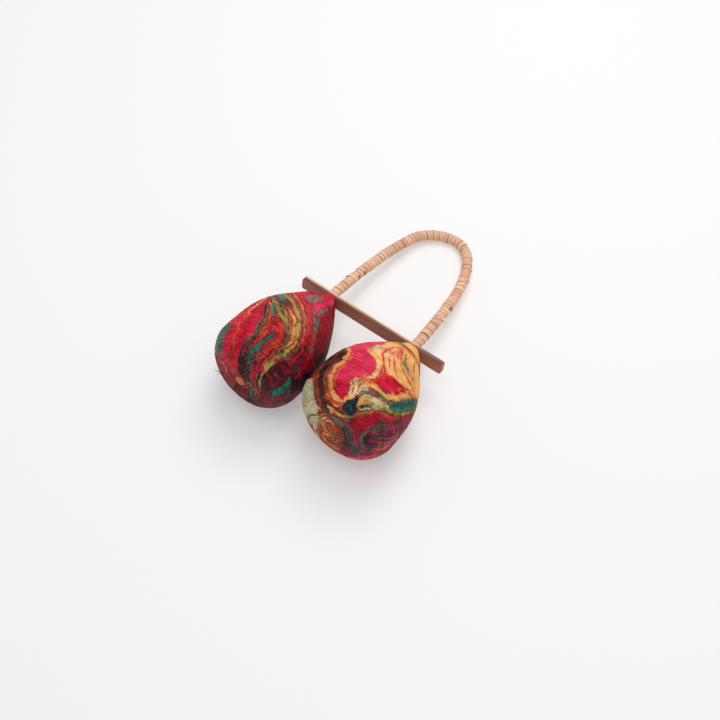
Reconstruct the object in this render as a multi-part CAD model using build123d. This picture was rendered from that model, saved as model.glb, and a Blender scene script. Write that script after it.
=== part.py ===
"""Twin maracas: two coiled, pear-shaped rattles on one crossbar, with a cane-wrapped loop handle.

The instrument is drawn flat first: X runs along the crossbar, +Y from the crossbar to the top of the
handle, Z across the crossbar's width, and the origin is the middle of the crossbar. It is then laid on
a floor, where it rests on both bulbs and the top of the handle, and moved so that the origin is the
middle of its footprint.
"""
from build123d import *
import math
import os

# Crossbar: a flat slat that stands on its narrow edge.
BAR_LENGTH = 128.7
BAR_WIDTH = 10.8
BAR_THICKNESS = 4.3
BAR_OFFSET = 1.0  # the slat reaches this much further past the right rattle
BAR_CORNER = 1.5
BAR_EDGE = 0.35
NECK_SPACING = 76.7

# Rattles: length from the crossbar to the crown, largest radius, radius where the neck meets the slat.
# The left one droops a little, so that both bulbs reach the floor.
RATTLES = {
    "left": {"side": -1, "length": 102.6, "radius": 36.5, "neck": 7.3, "droop": 2.0},
    "right": {"side": 1, "length": 95.9, "radius": 38.0, "neck": 7.6, "droop": 0.0},
}
WALL = 2.4
WIDEST = 0.76  # how far along the length the bulb is widest
NECK_FACE = 0.8  # the neck is wound this much over length, then dressed flush with the slat
# Each shell is wound from three strips of about equal length, spliced end to end.
COILS = {"neck_coil": (-0.05, 0.455), "belly_coil": (0.455, 0.768), "crown_coil": (0.768, 1.05)}

# Plugs: one closes the hole at the crown, and one in the neck holds the handle's leg.
CROWN_PLUG_RADIUS = 3.8
CROWN_PLUG_LENGTH = 4.2
CROWN_PLUG_PROUD = 0.4
CROWN_PLUG_EDGE = 0.35
NECK_PLUG_LENGTH = 14.0
NECK_PLUG_SOCKET = 11.0
GLUE_GAP = 0.06
DRILL_LENGTH = 12.0  # goes right through a wall or the slat
PLUG_MOUTH_GAP = 0.35  # room for the droop, where the plug meets the slat
PLUG_END_GAP = 0.9  # and at the plug's inner end

# Handle: a bent cane core, whose legs go through the slat into the neck plugs, wound with cane strip.
CORE_RADIUS = 3.2
WRAP_RADIUS = 4.15
LEG_IN_PLUG = 10.6
LEFT_OF_LOOP = [(-38.1, 14.0), (-36.9, 44.0), (-33.6, 76.0), (-27.5, 102.0), (-15.5, 114.8)]
RIGHT_OF_LOOP = [(1.0, 119.0), (14.5, 111.5), (24.5, 95.0), (32.0, 70.0), (35.6, 40.0), (37.6, 14.0)]
ARC_SHARE = 0.47  # share of the shorter run that each bend takes
# Where one strip ends and the next begins: lowest and highest X, lowest and highest Y.
FAR = 200.0
STRIPS = {
    "wrap_left_leg": (-FAR, 0.0, BAR_THICKNESS / 2, 45.0),
    "wrap_left_shoulder": (-FAR, -4.0, 45.0, FAR),
    "wrap_arch": (-4.0, FAR, 86.0, FAR),
    "wrap_right_shoulder": (0.0, FAR, 37.0, 86.0),
    "wrap_right_leg": (0.0, FAR, BAR_THICKNESS / 2, 37.0),
}

# Seeds: a loose layer on the floor of each shell. Distances are along the rattle from the crossbar.
SEED_RADIUS = 2.3
SEED_SPACING = 5.1
SEED_ROWS = 5
SEED_COLUMNS = 5
SEED_MIDDLE = 0.56  # share of the length, the lowest place inside as the instrument lies
SEED_GAP = 0.45  # between the seeds and the shell that they lie on

REST_TILT = 10.75  # degrees that the handle falls towards the floor
HALVINGS = 40  # enough to find a point on the outline exactly


def bezier_point(points, t):
    """A point of the cubic curve with these four control points."""
    weights = ((1 - t) ** 3, 3 * t * (1 - t) ** 2, 3 * t**2 * (1 - t), t**3)
    return tuple(sum(w * p[i] for w, p in zip(weights, points)) for i in (0, 1))


def pear(length, radius, neck):
    """Control points of the flank and of the crown, as (distance from the slat, radius)."""
    widest = WIDEST * length
    flank = [(0, neck), (0.412 * length, 0.973 * radius), (0.481 * length, radius), (widest, radius)]
    crown = [(widest, radius), (0.979 * length, radius), (length, 0.465 * radius), (length, 0)]
    return flank, crown


def radius_at(distance, length, radius, neck):
    """Radius of the pear at a distance from the slat, found by halving."""
    flank, crown = pear(length, radius, neck)
    curve = flank if distance < WIDEST * length else crown
    low, high = 0.0, 1.0
    for _ in range(HALVINGS):
        middle = (low + high) / 2
        if bezier_point(curve, middle)[0] < distance:
            low = middle
        else:
            high = middle
    return bezier_point(curve, low)[1]


def pear_solid(length, radius, neck):
    """A solid pear along -Y, with its neck at the origin, wound NECK_FACE over length."""
    flank, crown = pear(length, radius, neck)
    slope = (flank[1][1] - flank[0][1]) / (flank[1][0] - flank[0][0])
    start = (neck - NECK_FACE * slope, NECK_FACE)
    edges = [
        Line((0, NECK_FACE), start),
        Line(start, (neck, 0)),
        Bezier(*[(r, -s) for s, r in flank]),
        Bezier(*[(r, -s) for s, r in crown]),
        Line((0, -length), (0, NECK_FACE)),
    ]
    return revolve(make_face(edges), Axis.Y)


def slab(low_x, high_x, low_y, high_y):
    """A tall block between these limits."""
    middle = Pos((low_x + high_x) / 2, (low_y + high_y) / 2, 0)
    return middle * Box(high_x - low_x, high_y - low_y, 2 * FAR)


def place(rattle, shape):
    """Moves a piece made along -Y from the origin onto its rattle's own axis."""
    neck_centre = Pos(rattle["side"] * NECK_SPACING / 2, -BAR_THICKNESS / 2, 0)
    return neck_centre * Rot(X=rattle["droop"]) * shape


def coils(rattle):
    """The shell of one rattle, as the three strips that it is wound from."""
    sizes = (rattle["length"], rattle["radius"], rattle["neck"])
    shell = pear_solid(*sizes) - pear_solid(*(size - WALL for size in sizes))
    hole = Pos(0, -rattle["length"], 0) * Rot(X=90) * Cylinder(CROWN_PLUG_RADIUS + GLUE_GAP, DRILL_LENGTH)
    shell -= hole
    pieces = {}
    for name, (start, end) in COILS.items():
        cut = slab(-FAR, FAR, -end * rattle["length"], -start * rattle["length"])
        pieces[name] = place(rattle, shell & cut)
    pieces["neck_coil"] -= slab(-FAR, FAR, -BAR_THICKNESS / 2, FAR)
    return pieces


def crown_plug(rattle):
    """The round plug that closes the hole at the start of the coil."""
    plug = Cylinder(CROWN_PLUG_RADIUS, CROWN_PLUG_LENGTH)
    plug = fillet(plug.edges().sort_by(Axis.Z)[-1], CROWN_PLUG_EDGE)
    middle = -rattle["length"] - CROWN_PLUG_PROUD + CROWN_PLUG_LENGTH / 2
    return place(rattle, Pos(0, middle, 0) * Rot(X=90) * plug)


def neck_plug(rattle):
    """The turned plug inside the neck, with a blind socket for the handle's leg."""
    sizes = [rattle[key] - WALL for key in ("length", "radius", "neck")]
    wide = radius_at(NECK_PLUG_LENGTH, *sizes) - PLUG_END_GAP
    narrow = rattle["neck"] - WALL - PLUG_MOUTH_GAP
    bore = CORE_RADIUS + GLUE_GAP
    outline = [
        (bore, 0),
        (narrow, 0),
        (wide, -NECK_PLUG_LENGTH),
        (0, -NECK_PLUG_LENGTH),
        (0, -NECK_PLUG_SOCKET),
        (bore, -NECK_PLUG_SOCKET),
    ]
    plug = revolve(make_face(Polyline(*outline, close=True)), Axis.Y)
    return Pos(rattle["side"] * NECK_SPACING / 2, -BAR_THICKNESS / 2, 0) * plug


def seeds(rattle):
    """Loose seeds in one layer on the floor of the shell, without the layer's four corners."""
    sizes = [rattle[key] - WALL for key in ("length", "radius", "neck")]
    solids = []
    for row in range(SEED_ROWS):
        distance = SEED_MIDDLE * rattle["length"] + (row - (SEED_ROWS - 1) / 2) * SEED_SPACING
        height = radius_at(distance, *sizes) - SEED_RADIUS - SEED_GAP
        for column in range(SEED_COLUMNS):
            corner = row in (0, SEED_ROWS - 1) and column in (0, SEED_COLUMNS - 1)
            if corner:
                continue
            turn = (column - (SEED_COLUMNS - 1) / 2) * SEED_SPACING / height
            centre = Pos(height * math.sin(turn), -distance, -height * math.cos(turn))
            solids.append(place(rattle, centre * Sphere(SEED_RADIUS)))
    return Compound(children=[solid.solids()[0] for solid in solids])


def crossbar():
    """The slat, with a hole for each leg of the handle."""
    slat = Pos(BAR_OFFSET, 0, 0) * Box(BAR_LENGTH, BAR_THICKNESS, BAR_WIDTH)
    slat = chamfer(slat.edges().filter_by(Axis.Y), BAR_CORNER)
    slat = chamfer(slat.edges().filter_by(Axis.X), BAR_EDGE)
    for side in (-1, 1):
        hole = Rot(X=90) * Cylinder(CORE_RADIUS + GLUE_GAP, DRILL_LENGTH)
        slat -= Pos(side * NECK_SPACING / 2, 0, 0) * hole
    return slat


def loop_path():
    """The handle's centre line, starting and ending inside the slat: straights joined by tangent arcs."""
    foot = NECK_SPACING / 2
    corners = [(-foot, 0), *LEFT_OF_LOOP, *RIGHT_OF_LOOP, (foot, 0)]
    points = [Vector(x, y, 0) for x, y in corners]
    radii = []
    for before, corner, after in zip(points, points[1:], points[2:]):
        run_in, run_out = corner - before, after - corner
        turn = math.radians(run_in.get_angle(run_out))
        radii.append(ARC_SHARE * min(run_in.length, run_out.length) / math.tan(turn / 2))
    print("handle bends, radius in mm:", [round(radius) for radius in radii])
    return FilletPolyline(*points, radius=radii)


def rod(path, radius):
    """A round rod along the path."""
    return sweep(Plane(origin=path @ 0, z_dir=path % 0) * Circle(radius), path=path)


def handle_core(path):
    """The bent core with its two legs, which go through the slat into the neck plugs."""
    core = rod(path, CORE_RADIUS)
    leg_length = LEG_IN_PLUG + BAR_THICKNESS
    for side in (-1, 1):
        leg = Rot(X=90) * Cylinder(CORE_RADIUS, leg_length)
        core += Pos(side * NECK_SPACING / 2, BAR_THICKNESS / 2 - leg_length / 2, 0) * leg
    return core


def wraps(path):
    """The wound cane, as one close sleeve for each strip."""
    sleeve = rod(path, WRAP_RADIUS) - rod(path, CORE_RADIUS + GLUE_GAP)
    return {name: sleeve & slab(*limits) for name, limits in STRIPS.items()}


def lay_down(pieces):
    """Tilts the flat instrument onto the floor and puts the origin at the middle of its footprint."""
    laid = {name: Rot(X=-REST_TILT) * piece for name, piece in pieces.items()}
    boxes = {name: piece.bounding_box() for name, piece in laid.items()}
    for name in ("left_belly_coil", "right_belly_coil", "wrap_arch"):
        print("lowest point of", name, round(boxes[name].min.Z, 3))
    middle_x = (min(box.min.X for box in boxes.values()) + max(box.max.X for box in boxes.values())) / 2
    middle_y = (min(box.min.Y for box in boxes.values()) + max(box.max.Y for box in boxes.values())) / 2
    floor = min(box.min.Z for box in boxes.values())
    print("middle of the slat at", round(-middle_x, 3), round(-middle_y, 3), round(-floor, 3))
    return {name: Pos(-middle_x, -middle_y, -floor) * piece for name, piece in laid.items()}


def main():
    path = loop_path()
    pieces = {"crossbar": crossbar(), "handle_core": handle_core(path), **wraps(path)}
    for name, rattle in RATTLES.items():
        for coil, piece in coils(rattle).items():
            pieces[f"{name}_{coil}"] = piece
        pieces[f"{name}_crown_plug"] = crown_plug(rattle)
        pieces[f"{name}_neck_plug"] = neck_plug(rattle)
        pieces[f"{name}_seeds"] = seeds(rattle)
    os.makedirs("parts", exist_ok=True)
    for name, piece in lay_down(pieces).items():
        export_step(piece, f"parts/{name}.step")


main()
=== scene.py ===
"""Twin maracas: two coiled, marbled rattles on a wooden crossbar, with a cane-wrapped loop handle.

Pieces are made in millimetres in the instrument's own plane: u along the crossbar, v from the crossbar
to the top of the handle, w across the crossbar. to_world() lays them on the floor, in metres.
On a rattle, a is the angle in degrees round the axis from the top, positive towards +X, and d is the
share of the way along the surface from the crossbar to the crown.
"""
import math

import bpy
import numpy as np
from mathutils import Matrix, Vector


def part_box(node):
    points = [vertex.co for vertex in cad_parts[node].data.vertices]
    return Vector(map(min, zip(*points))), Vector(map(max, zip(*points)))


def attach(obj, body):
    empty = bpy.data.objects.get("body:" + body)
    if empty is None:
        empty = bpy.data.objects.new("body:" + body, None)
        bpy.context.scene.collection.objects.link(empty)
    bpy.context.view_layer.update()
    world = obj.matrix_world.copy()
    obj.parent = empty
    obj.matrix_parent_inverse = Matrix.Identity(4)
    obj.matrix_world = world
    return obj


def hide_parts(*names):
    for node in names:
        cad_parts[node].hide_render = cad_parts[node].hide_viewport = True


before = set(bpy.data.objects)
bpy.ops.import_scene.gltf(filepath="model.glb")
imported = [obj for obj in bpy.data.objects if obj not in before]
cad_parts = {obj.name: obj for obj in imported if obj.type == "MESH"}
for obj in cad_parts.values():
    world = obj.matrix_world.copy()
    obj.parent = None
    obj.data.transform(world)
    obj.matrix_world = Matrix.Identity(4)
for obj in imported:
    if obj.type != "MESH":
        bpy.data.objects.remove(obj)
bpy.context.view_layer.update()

# ---------------------------------------------------------------- sizes, in mm
MM = 0.001
REST_TILT = math.radians(10.75)
BAR_OFFSET = 1.0  # the slat reaches this much further past the right rattle
BAR_THICKNESS = 4.3
NECK_SPACING = 76.7

# Each rattle's length, largest radius, radius at the slat, droop in degrees and turns of its coil, then
# the groove's depth, how ragged the dyes' edges are, how strong the flecks are, and the noise's seed.
RATTLES = {
    "left": {"side": -1, "length": 102.6, "radius": 36.5, "neck": 7.3, "droop": 2.0, "turns": 85,
             "groove": 0.46, "ragged": 0.34, "flecks": 0.62, "seed": 11},
    "right": {"side": 1, "length": 95.9, "radius": 38.0, "neck": 7.6, "droop": 0.0, "turns": 82,
              "groove": 0.38, "ragged": 0.24, "flecks": 0.34, "seed": 47},
}
WIDEST = 0.76  # share of the length at which the pear stops widening
WALL = 2.4
CUTS = (0.455, 0.768)  # shares of the length where one strip is spliced to the next
HOLE_RADIUS = 3.86

COLUMNS = 384  # round a rattle
STEPS = 6  # along the surface, in each turn of the coil
LINING_ROWS = 10
FIBRE_STRETCH = 12  # fibres are this much longer than wide
GROOVE_CHANGE = 0.45  # share by which the groove's depth comes and goes
STRIP_LIFTS = ((0.07, 5), (0.05, 50))  # how far the strip stands proud, and noise cells in a turn
SHELL_LUMPS = ((0.22, 22), (0.08, 8))  # how far the shell is out of true, and how wide its lumps are
SMOOTH_START = 2.0  # the relief fades in over this much of the neck
SHARP_RIB = math.radians(62)
BAKE_STRIPS = {"neck": 2, "belly": 3, "crown": 2}  # rows in the bake's map that a coil is cut into
BAKE_MARGIN = 0.01  # of the map, at its sides
BAKE_ROW_MARGIN = 0.02  # of a row, over and under it
BAKE_LINING = 0.6  # of a row, for the lining

# The handle's centre line turns by an arc at each of these corners (u, v).
LEFT_OF_LOOP = [(-38.1, 14.0), (-36.9, 44.0), (-33.6, 76.0), (-27.5, 102.0), (-15.5, 114.8)]
RIGHT_OF_LOOP = [(1.0, 119.0), (14.5, 111.5), (24.5, 95.0), (32.0, 70.0), (35.6, 40.0), (37.6, 14.0)]
ARC_SHARE = 0.47
CORE_RADIUS = 3.2
STRIP_THICKNESS = 0.85
SECTIONS_PER_TURN = 30
SHARP_STRIP = math.radians(50)
STRIP_RELIEF = ((0.10, 1.3), (0.05, 7))  # how far the cane stands proud, and noise cells in a turn
STRIP_SINK = 0.2  # how far a strip's ends tuck under
STRIP_WANDER = 0.16  # how far a turn strays along the handle
CANE_GRAIN = 26.0  # length of a turn, for the fibres
# Half of the strip's section: share of its width from its middle, and share of its thickness.
STRIP_HALF = [(0.15, 1.0), (0.36, 0.95), (0.46, 0.84), (0.5, 0.66), (0.5, 0)]
STRIP_PROFILE = [(-across, height) for across, height in reversed(STRIP_HALF)] + STRIP_HALF

# Where one strip of the wrap gives way to the next: v on the left leg, u at the top, v on the right.
SPLICES = {"left": 45.0, "top": -4.0, "shoulder": 86.0, "right": 37.0}
WRAP_WIDTHS = {
    "wrap_left_leg": (4.3, 3.7),
    "wrap_left_shoulder": (3.7, 2.5),
    "wrap_arch": (2.3, 2.5),
    "wrap_right_shoulder": (4.8, 3.0),
    "wrap_right_leg": (2.9, 2.8),
}
WRAP_SEED = 300
# Loose ends: v, the side of the loop, angles from root to tip, width, lift, dye and slant.
TAILS = {
    "wrap_left_leg": [
        (24.5, -1, (60, 5), 2.2, 0.9, "brown", 0.8),
        (31.5, -1, (165, 130), 1.0, 0.2, "dark", 0.5),
        (38.0, -1, (175, 140), 1.3, 0.3, "dark", 0.7),
    ],
    "wrap_right_shoulder": [
        (84.0, 1, (75, -8), 3.4, 0.9, "tan", -1.2),
        (51.0, 1, (50, 0), 2.2, 0.7, "brown", -0.8),
    ],
    "wrap_right_leg": [
        (36.0, 1, (95, 20), 3.4, 0.3, "pink", -2.0),
        (37.0, 1, (60, -20), 3.0, 2.2, "pale", -3.2),
    ],
}

PLUG_RADIUS = 3.8
PLUG_PROUD = 0.4
PLUG_DEPTH = 4.2
PLUG_PITCH = 0.95
PLUG_GROOVE = 0.13
PLUG_RINGS = 40
PLUG_SPOKES = 64

SEED_RADIUS = 2.3
SEED_SPACING = 5.1
SEED_ROW = 5
SEED_MIDDLE = 0.56  # share of the rattle's length
SEED_GAP = 0.45
SEED_RINGS = 13
SEED_SPOKES = 20
SEED_FLATNESS = 0.14

# The stray fibre starts at this (a, d); its tines turn, run along, rise and are as thick as this.
STRAY_ROOT = (-114, 0.85)
STRAY_TINES = [(9, 2.4, 4.8, 0.44), (-2, -2.2, 3.6, 0.38), (3, 4.2, 1.8, 0.32)]
STRAY_CORNERS = 6
STRAY_STEPS = 10

# ---------------------------------------------------------------- colours, in sRGB of 0 to 255
BARE_STRIP = (150, 110, 80)
STRAY_COLOUR = (62, 30, 34)
PLUG_TINTS = {"left": (204, 128, 74), "right": (168, 84, 44)}
CANE = {
    "tan": (232, 188, 154),
    "pink": (230, 174, 148),
    "pale": (246, 214, 184),
    "brown": (158, 104, 72),
    "dark": (66, 42, 30),
}
# Each dye has a main colour, the shade that it drifts to, and the dye of the fine threads in it.
DYES = {
    "gold": ((252, 192, 108), (240, 166, 92), "orange"),
    "peach": ((252, 206, 142), (248, 180, 116), "salmon"),
    "cream": ((244, 220, 168), (220, 200, 136), "olive"),
    "rose": ((238, 58, 94), (222, 36, 72), "crimson"),
    "crimson": ((222, 24, 60), (188, 14, 42), "deep"),
    "deep": ((168, 14, 36), (136, 14, 32), "wine"),
    "wine": ((128, 18, 44), (92, 18, 36), "maroon"),
    "maroon": ((76, 26, 32), (48, 22, 28), "deep"),
    "dusk": ((52, 26, 30), (132, 20, 38), "grey"),
    "plum": ((150, 30, 58), (104, 22, 46), "grey"),
    "ink": ((32, 46, 48), (22, 32, 36), "teal"),
    "teal": ((30, 142, 112), (22, 98, 82), "ink"),
    "pine": ((34, 110, 88), (26, 68, 60), "teal"),
    "sage": ((212, 208, 170), (184, 188, 148), "salmon"),
    "lime": ((176, 170, 88), (136, 122, 64), "olive"),
    "olive": ((128, 124, 72), (106, 96, 56), "lime"),
    "orange": ((236, 96, 36), (218, 64, 38), "gold"),
    "scarlet": ((230, 54, 38), (206, 30, 36), "deep"),
    "salmon": ((242, 124, 84), (228, 80, 66), "crimson"),
    "rust": ((180, 78, 38), (142, 56, 32), "orange"),
    "brown": ((98, 52, 36), (74, 40, 30), "rust"),
    "grey": ((116, 126, 106), (84, 96, 88), "maroon"),
    "mauve": ((140, 92, 98), (108, 100, 94), "peach"),
    "brick": ((156, 48, 50), (130, 38, 44), "maroon"),
}

# ---------------------------------------------------------------- the marbling
# What no stroke covers is bands of these dyes, each with its share of the cycle.
BANDS = {
    "left": [
        ("crimson", 0.26), ("salmon", 0.04), ("deep", 0.12), ("maroon", 0.10), ("grey", 0.03),
        ("teal", 0.06), ("lime", 0.07), ("rust", 0.03), ("orange", 0.04), ("deep", 0.10), ("wine", 0.15),
    ],
    "right": [
        ("crimson", 0.20), ("orange", 0.04), ("gold", 0.13), ("peach", 0.08), ("cream", 0.06),
        ("ink", 0.04), ("teal", 0.06), ("sage", 0.08), ("rust", 0.04), ("deep", 0.17), ("maroon", 0.10),
    ],
}

# What is painted over them, in order. A fill is (dye, outline), and a vein is (edge dye, dye, half width
# in mm, points). All points are (a, d). A ring is (dye, lowest d, highest d).
FILLS_LEFT = [
    ("crimson", [(-35, -0.03), (48, -0.03), (46, 0.3), (56, 0.45), (46, 0.9), (-116, 0.9), (-116, 0.84),
        (-98, 0.65), (-86, 0.45), (-72, 0.3), (-68, 0.12)]),
    ("dusk", [(96, 0.6), (250, 0.6), (250, 0.95), (96, 0.95)]),
    ("brick", [(-45, -0.03), (0, -0.03), (0, 0.08), (-8, 0.15), (-22, 0.15), (-45, 0.08)]),
    ("mauve", [(-5, 0.235), (-3, 0.18), (5, 0.12), (17, 0.12), (20, 0.16), (14, 0.225), (12, 0.268),
        (3, 0.268)]),
    ("dusk", [(42, 0.44), (54, 0.3), (60, 0.12), (125, 0.05), (130, 0.9), (42, 0.88), (39, 0.76),
        (40, 0.55)]),
    ("deep", [(46, -0.03), (95, -0.03), (75, 0.2), (74, 0.44), (56, 0.46), (44, 0.37), (40, 0.27),
        (44, 0.12)]),
    ("rose", [(44, 0.01), (28, 0.14), (20, 0.22), (24, 0.28), (33, 0.335), (29, 0.27), (29, 0.2),
        (44, 0.1), (60, 0.035)]),
    ("ink", [(74, 0.44), (88, 0.4), (94, 0.55), (86, 0.64), (76, 0.6), (78, 0.5)]),
    ("deep", [(50, 0.64), (55, 0.593), (64, 0.552), (68, 0.508), (80, 0.495), (76, 0.568), (63, 0.62)]),
    ("maroon", [(39, 0.74), (48, 0.64), (56, 0.63), (52, 0.72), (60, 0.8), (84, 0.86), (48, 0.86)]),
    ("pine", [(66, 0.69), (66, 0.71), (72, 0.75), (84, 0.81), (96, 0.82), (98, 0.8), (88, 0.77),
        (84, 0.745), (90, 0.715), (86, 0.7), (76, 0.725), (74, 0.7)]),
    ("deep", [(98, 0.845), (110, 0.855), (124, 0.825), (130, 0.775), (112, 0.79), (100, 0.805)]),
    ("brick", [(-44, 0.26), (-20, 0.28), (4, 0.31), (22, 0.37), (36, 0.47), (41, 0.57), (39, 0.7),
        (33, 0.72), (30, 0.66), (20, 0.58), (6, 0.53), (-10, 0.47), (-26, 0.41), (-44, 0.34)]),
    ("brown", [(24, 0.56), (30, 0.555), (35, 0.6), (35, 0.65), (32, 0.69), (28, 0.65), (26, 0.61)]),
    ("maroon", [(-27, 0.42), (-18, 0.465), (-9, 0.53), (-2, 0.575), (2, 0.63), (3, 0.7), (3, 0.78),
        (1, 0.84), (-6, 0.91), (-14, 0.87), (-9, 0.8), (-6, 0.73), (-6, 0.65), (-9, 0.59), (-16, 0.535),
        (-25, 0.47)]),
    ("deep", [(-14, 0.42), (-4, 0.47), (10, 0.53), (22, 0.6), (29, 0.68), (28, 0.78), (32, 0.85),
        (24, 0.86), (16, 0.8), (4, 0.82), (4, 0.62), (-4, 0.55), (-12, 0.5)]),
    ("crimson", [(5, 0.7), (6, 0.62), (6, 0.58), (12, 0.575), (19, 0.62), (21, 0.66), (20, 0.73),
        (17, 0.8), (11, 0.83), (6, 0.78)]),
    ("grey", [(-44, 0.668), (-65, 0.667), (-82, 0.7), (-84, 0.78), (-74, 0.815), (-60, 0.825),
        (-50, 0.802), (-46, 0.768), (-44, 0.73), (-40, 0.7)]),
    ("pine", [(-41, 0.68), (-46, 0.667), (-60, 0.667), (-66, 0.68), (-62, 0.702), (-52, 0.712),
        (-43, 0.7)]),
    ("lime", [(34, 0.725), (31.5, 0.758), (34, 0.785), (40, 0.805), (43, 0.792), (40, 0.758),
        (38, 0.73)]),
    ("brick", [(-84, 0.8), (-64, 0.85), (-66, 0.91), (-110, 0.93), (-150, 0.94), (-150, 0.85),
        (-124, 0.85), (-112, 0.8)]),
    ("maroon", [(-4, 0.87), (8, 0.83), (24, 0.865), (40, 0.89), (60, 0.94), (10, 0.96), (-14, 0.93)]),
    ("crimson", [(25, 0.845), (32, 0.835), (43, 0.858), (40, 0.885)]),
]
VEINS_LEFT = [
    ("dusk", "deep", 1.5, [(44, 0.705), (52, 0.69), (60, 0.67)]),
    ("dusk", "deep", 1.8, [(44, 0.8), (52, 0.785), (62, 0.79)]),
    ("dusk", "wine", 1.6, [(50, 0.75), (60, 0.74), (66, 0.72)]),
    ("dusk", "wine", 1.8, [(56, 0.845), (76, 0.86), (100, 0.86), (120, 0.835)]),
    ("dusk", "pine", 1.2, [(56, 0.64), (62, 0.625), (68, 0.62)]),
    ("maroon", "grey", 1.3, [(53, 0.1), (38, 0.205), (32, 0.263), (34, 0.305), (40, 0.34), (42, 0.388),
        (48, 0.435), (53, 0.465), (60, 0.5)]),
    ("maroon", "grey", 1.1, [(14, 0.258), (28, 0.32), (38, 0.388), (44, 0.44), (52, 0.48), (62, 0.51)]),
    ("maroon", "grey", 0.9, [(-13, 0.275), (5, 0.335), (18, 0.39), (29, 0.445), (36, 0.485)]),
    ("deep", "salmon", 1.1, [(-30, 0.25), (-14, 0.29), (-3, 0.31), (12, 0.357), (24, 0.403)]),
    ("rust", "salmon", 1.1, [(24, 0.41), (36, 0.473), (42, 0.52), (50, 0.547)]),
    ("crimson", "crimson", 1.4, [(42, 0.42), (50, 0.475), (58, 0.52), (66, 0.58), (70, 0.66)]),
    ("deep", "crimson", 1.1, [(40, 0.47), (46, 0.52), (50, 0.58), (49, 0.66)]),
    ("maroon", "lime", 1.0, [(-42, 0.375), (-30, 0.395), (-22, 0.425), (-17, 0.46)]),
    ("rust", "lime", 1.8, [(-40, 0.3), (-28, 0.32), (-12, 0.348), (0, 0.372), (10, 0.403), (19, 0.438),
        (26, 0.48), (32, 0.52), (36, 0.56), (38, 0.608), (37, 0.657), (35, 0.7), (34, 0.745)]),
    ("maroon", "lime", 1.0, [(38, 0.795), (46, 0.83), (58, 0.858), (84, 0.87)]),
    ("orange", "gold", 1.2, [(-1, 0.42), (10, 0.448), (18, 0.475), (24, 0.505), (29, 0.54), (32, 0.573),
        (33, 0.62)]),
    ("brown", "scarlet", 0.8, [(-12, 0.39), (-6, 0.408), (6, 0.453), (14, 0.482), (22, 0.52),
        (28, 0.562)]),
    ("brown", "gold", 0.5, [(-6, 0.44), (5, 0.475), (14, 0.51), (22, 0.55), (28, 0.61)]),
    ("olive", "lime", 1.5, [(-22, 0.42), (-14, 0.443), (-3, 0.48), (5, 0.503), (12, 0.517), (18, 0.54),
        (24, 0.57)]),
    ("maroon", "olive", 0.8, [(20, 0.545), (26, 0.585), (31, 0.62), (32, 0.68)]),
    ("deep", "teal", 2.1, [(-46, 0.31), (-35, 0.335), (-25, 0.36), (-15, 0.388), (-3, 0.435)]),
    ("maroon", "teal", 1.5, [(-18, 0.44), (-12, 0.475), (-7, 0.51), (-3, 0.54)]),
    ("deep", "salmon", 0.9, [(-26, 0.44), (-20, 0.46), (-13, 0.49), (-8, 0.53)]),
    ("orange", "gold", 1.1, [(-58, 0.36), (-47, 0.39), (-40, 0.413), (-36, 0.48), (-36, 0.54),
        (-33, 0.58)]),
    ("crimson", "orange", 0.9, [(-33, 0.58), (-28, 0.62), (-30, 0.665), (-24, 0.708), (-26, 0.735),
        (-24, 0.77), (-22, 0.8), (-19, 0.83)]),
    ("maroon", "grey", 0.9, [(-26, 0.445), (-18, 0.49), (-12, 0.53), (-6, 0.578), (-2, 0.62), (-2, 0.7)]),
    ("deep", "grey", 0.7, [(-14, 0.55), (-8, 0.6), (-5, 0.66), (-4, 0.74), (-4, 0.82)]),
    ("ink", "ink", 0.9, [(1, 0.62), (2, 0.7), (3, 0.78), (0, 0.86)]),
    ("maroon", "scarlet", 1.9, [(4, 0.77), (5.5, 0.705), (6, 0.65), (4, 0.608), (0, 0.568), (4, 0.542),
        (10, 0.548), (16, 0.572), (22, 0.61), (24.5, 0.65), (23, 0.7), (22.5, 0.74), (24, 0.787),
        (30, 0.835)]),
    ("deep", "scarlet", 0.9, [(6, 0.6), (8, 0.575), (13, 0.585), (18, 0.612), (20, 0.65), (19.5, 0.7),
        (19, 0.75)]),
    ("maroon", "orange", 0.8, [(2, 0.7), (2, 0.657), (1, 0.61), (-4, 0.562), (-8, 0.527), (-16, 0.48)]),
    ("maroon", "orange", 0.5, [(8, 0.556), (14, 0.572), (19, 0.6), (22, 0.64), (21, 0.68)]),
    ("ink", "teal", 1.7, [(13, 0.61), (12.5, 0.65), (12, 0.695), (10.5, 0.73), (10, 0.765), (10, 0.795),
        (10, 0.84)]),
    ("maroon", "grey", 0.9, [(17, 0.745), (18, 0.79), (20, 0.83), (26, 0.87)]),
    ("pine", "teal", 1.2, [(70, 0.715), (74, 0.75), (82, 0.79), (92, 0.808)]),
    ("maroon", "pine", 1.2, [(84, 0.82), (98, 0.8), (108, 0.757)]),
    ("maroon", "crimson", 1.2, [(102, 0.805), (95, 0.78), (96, 0.75)]),
    ("grey", "teal", 1.9, [(-66, 0.69), (-58, 0.688), (-48, 0.686), (-41, 0.684)]),
    ("grey", "teal", 1.1, [(-70, 0.735), (-60, 0.73), (-54, 0.74)]),
    ("crimson", "salmon", 1.5, [(-84, 0.845), (-76, 0.875), (-80, 0.9), (-96, 0.905)]),
    ("maroon", "grey", 1.0, [(36, 0.925), (74, 0.932), (124, 0.912), (140, 0.88)]),
    ("maroon", "crimson", 1.0, [(38, 0.893), (57, 0.887), (88, 0.892), (114, 0.858)]),
    ("maroon", "olive", 0.9, [(48, 0.91), (80, 0.915), (118, 0.89)]),
]
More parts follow.
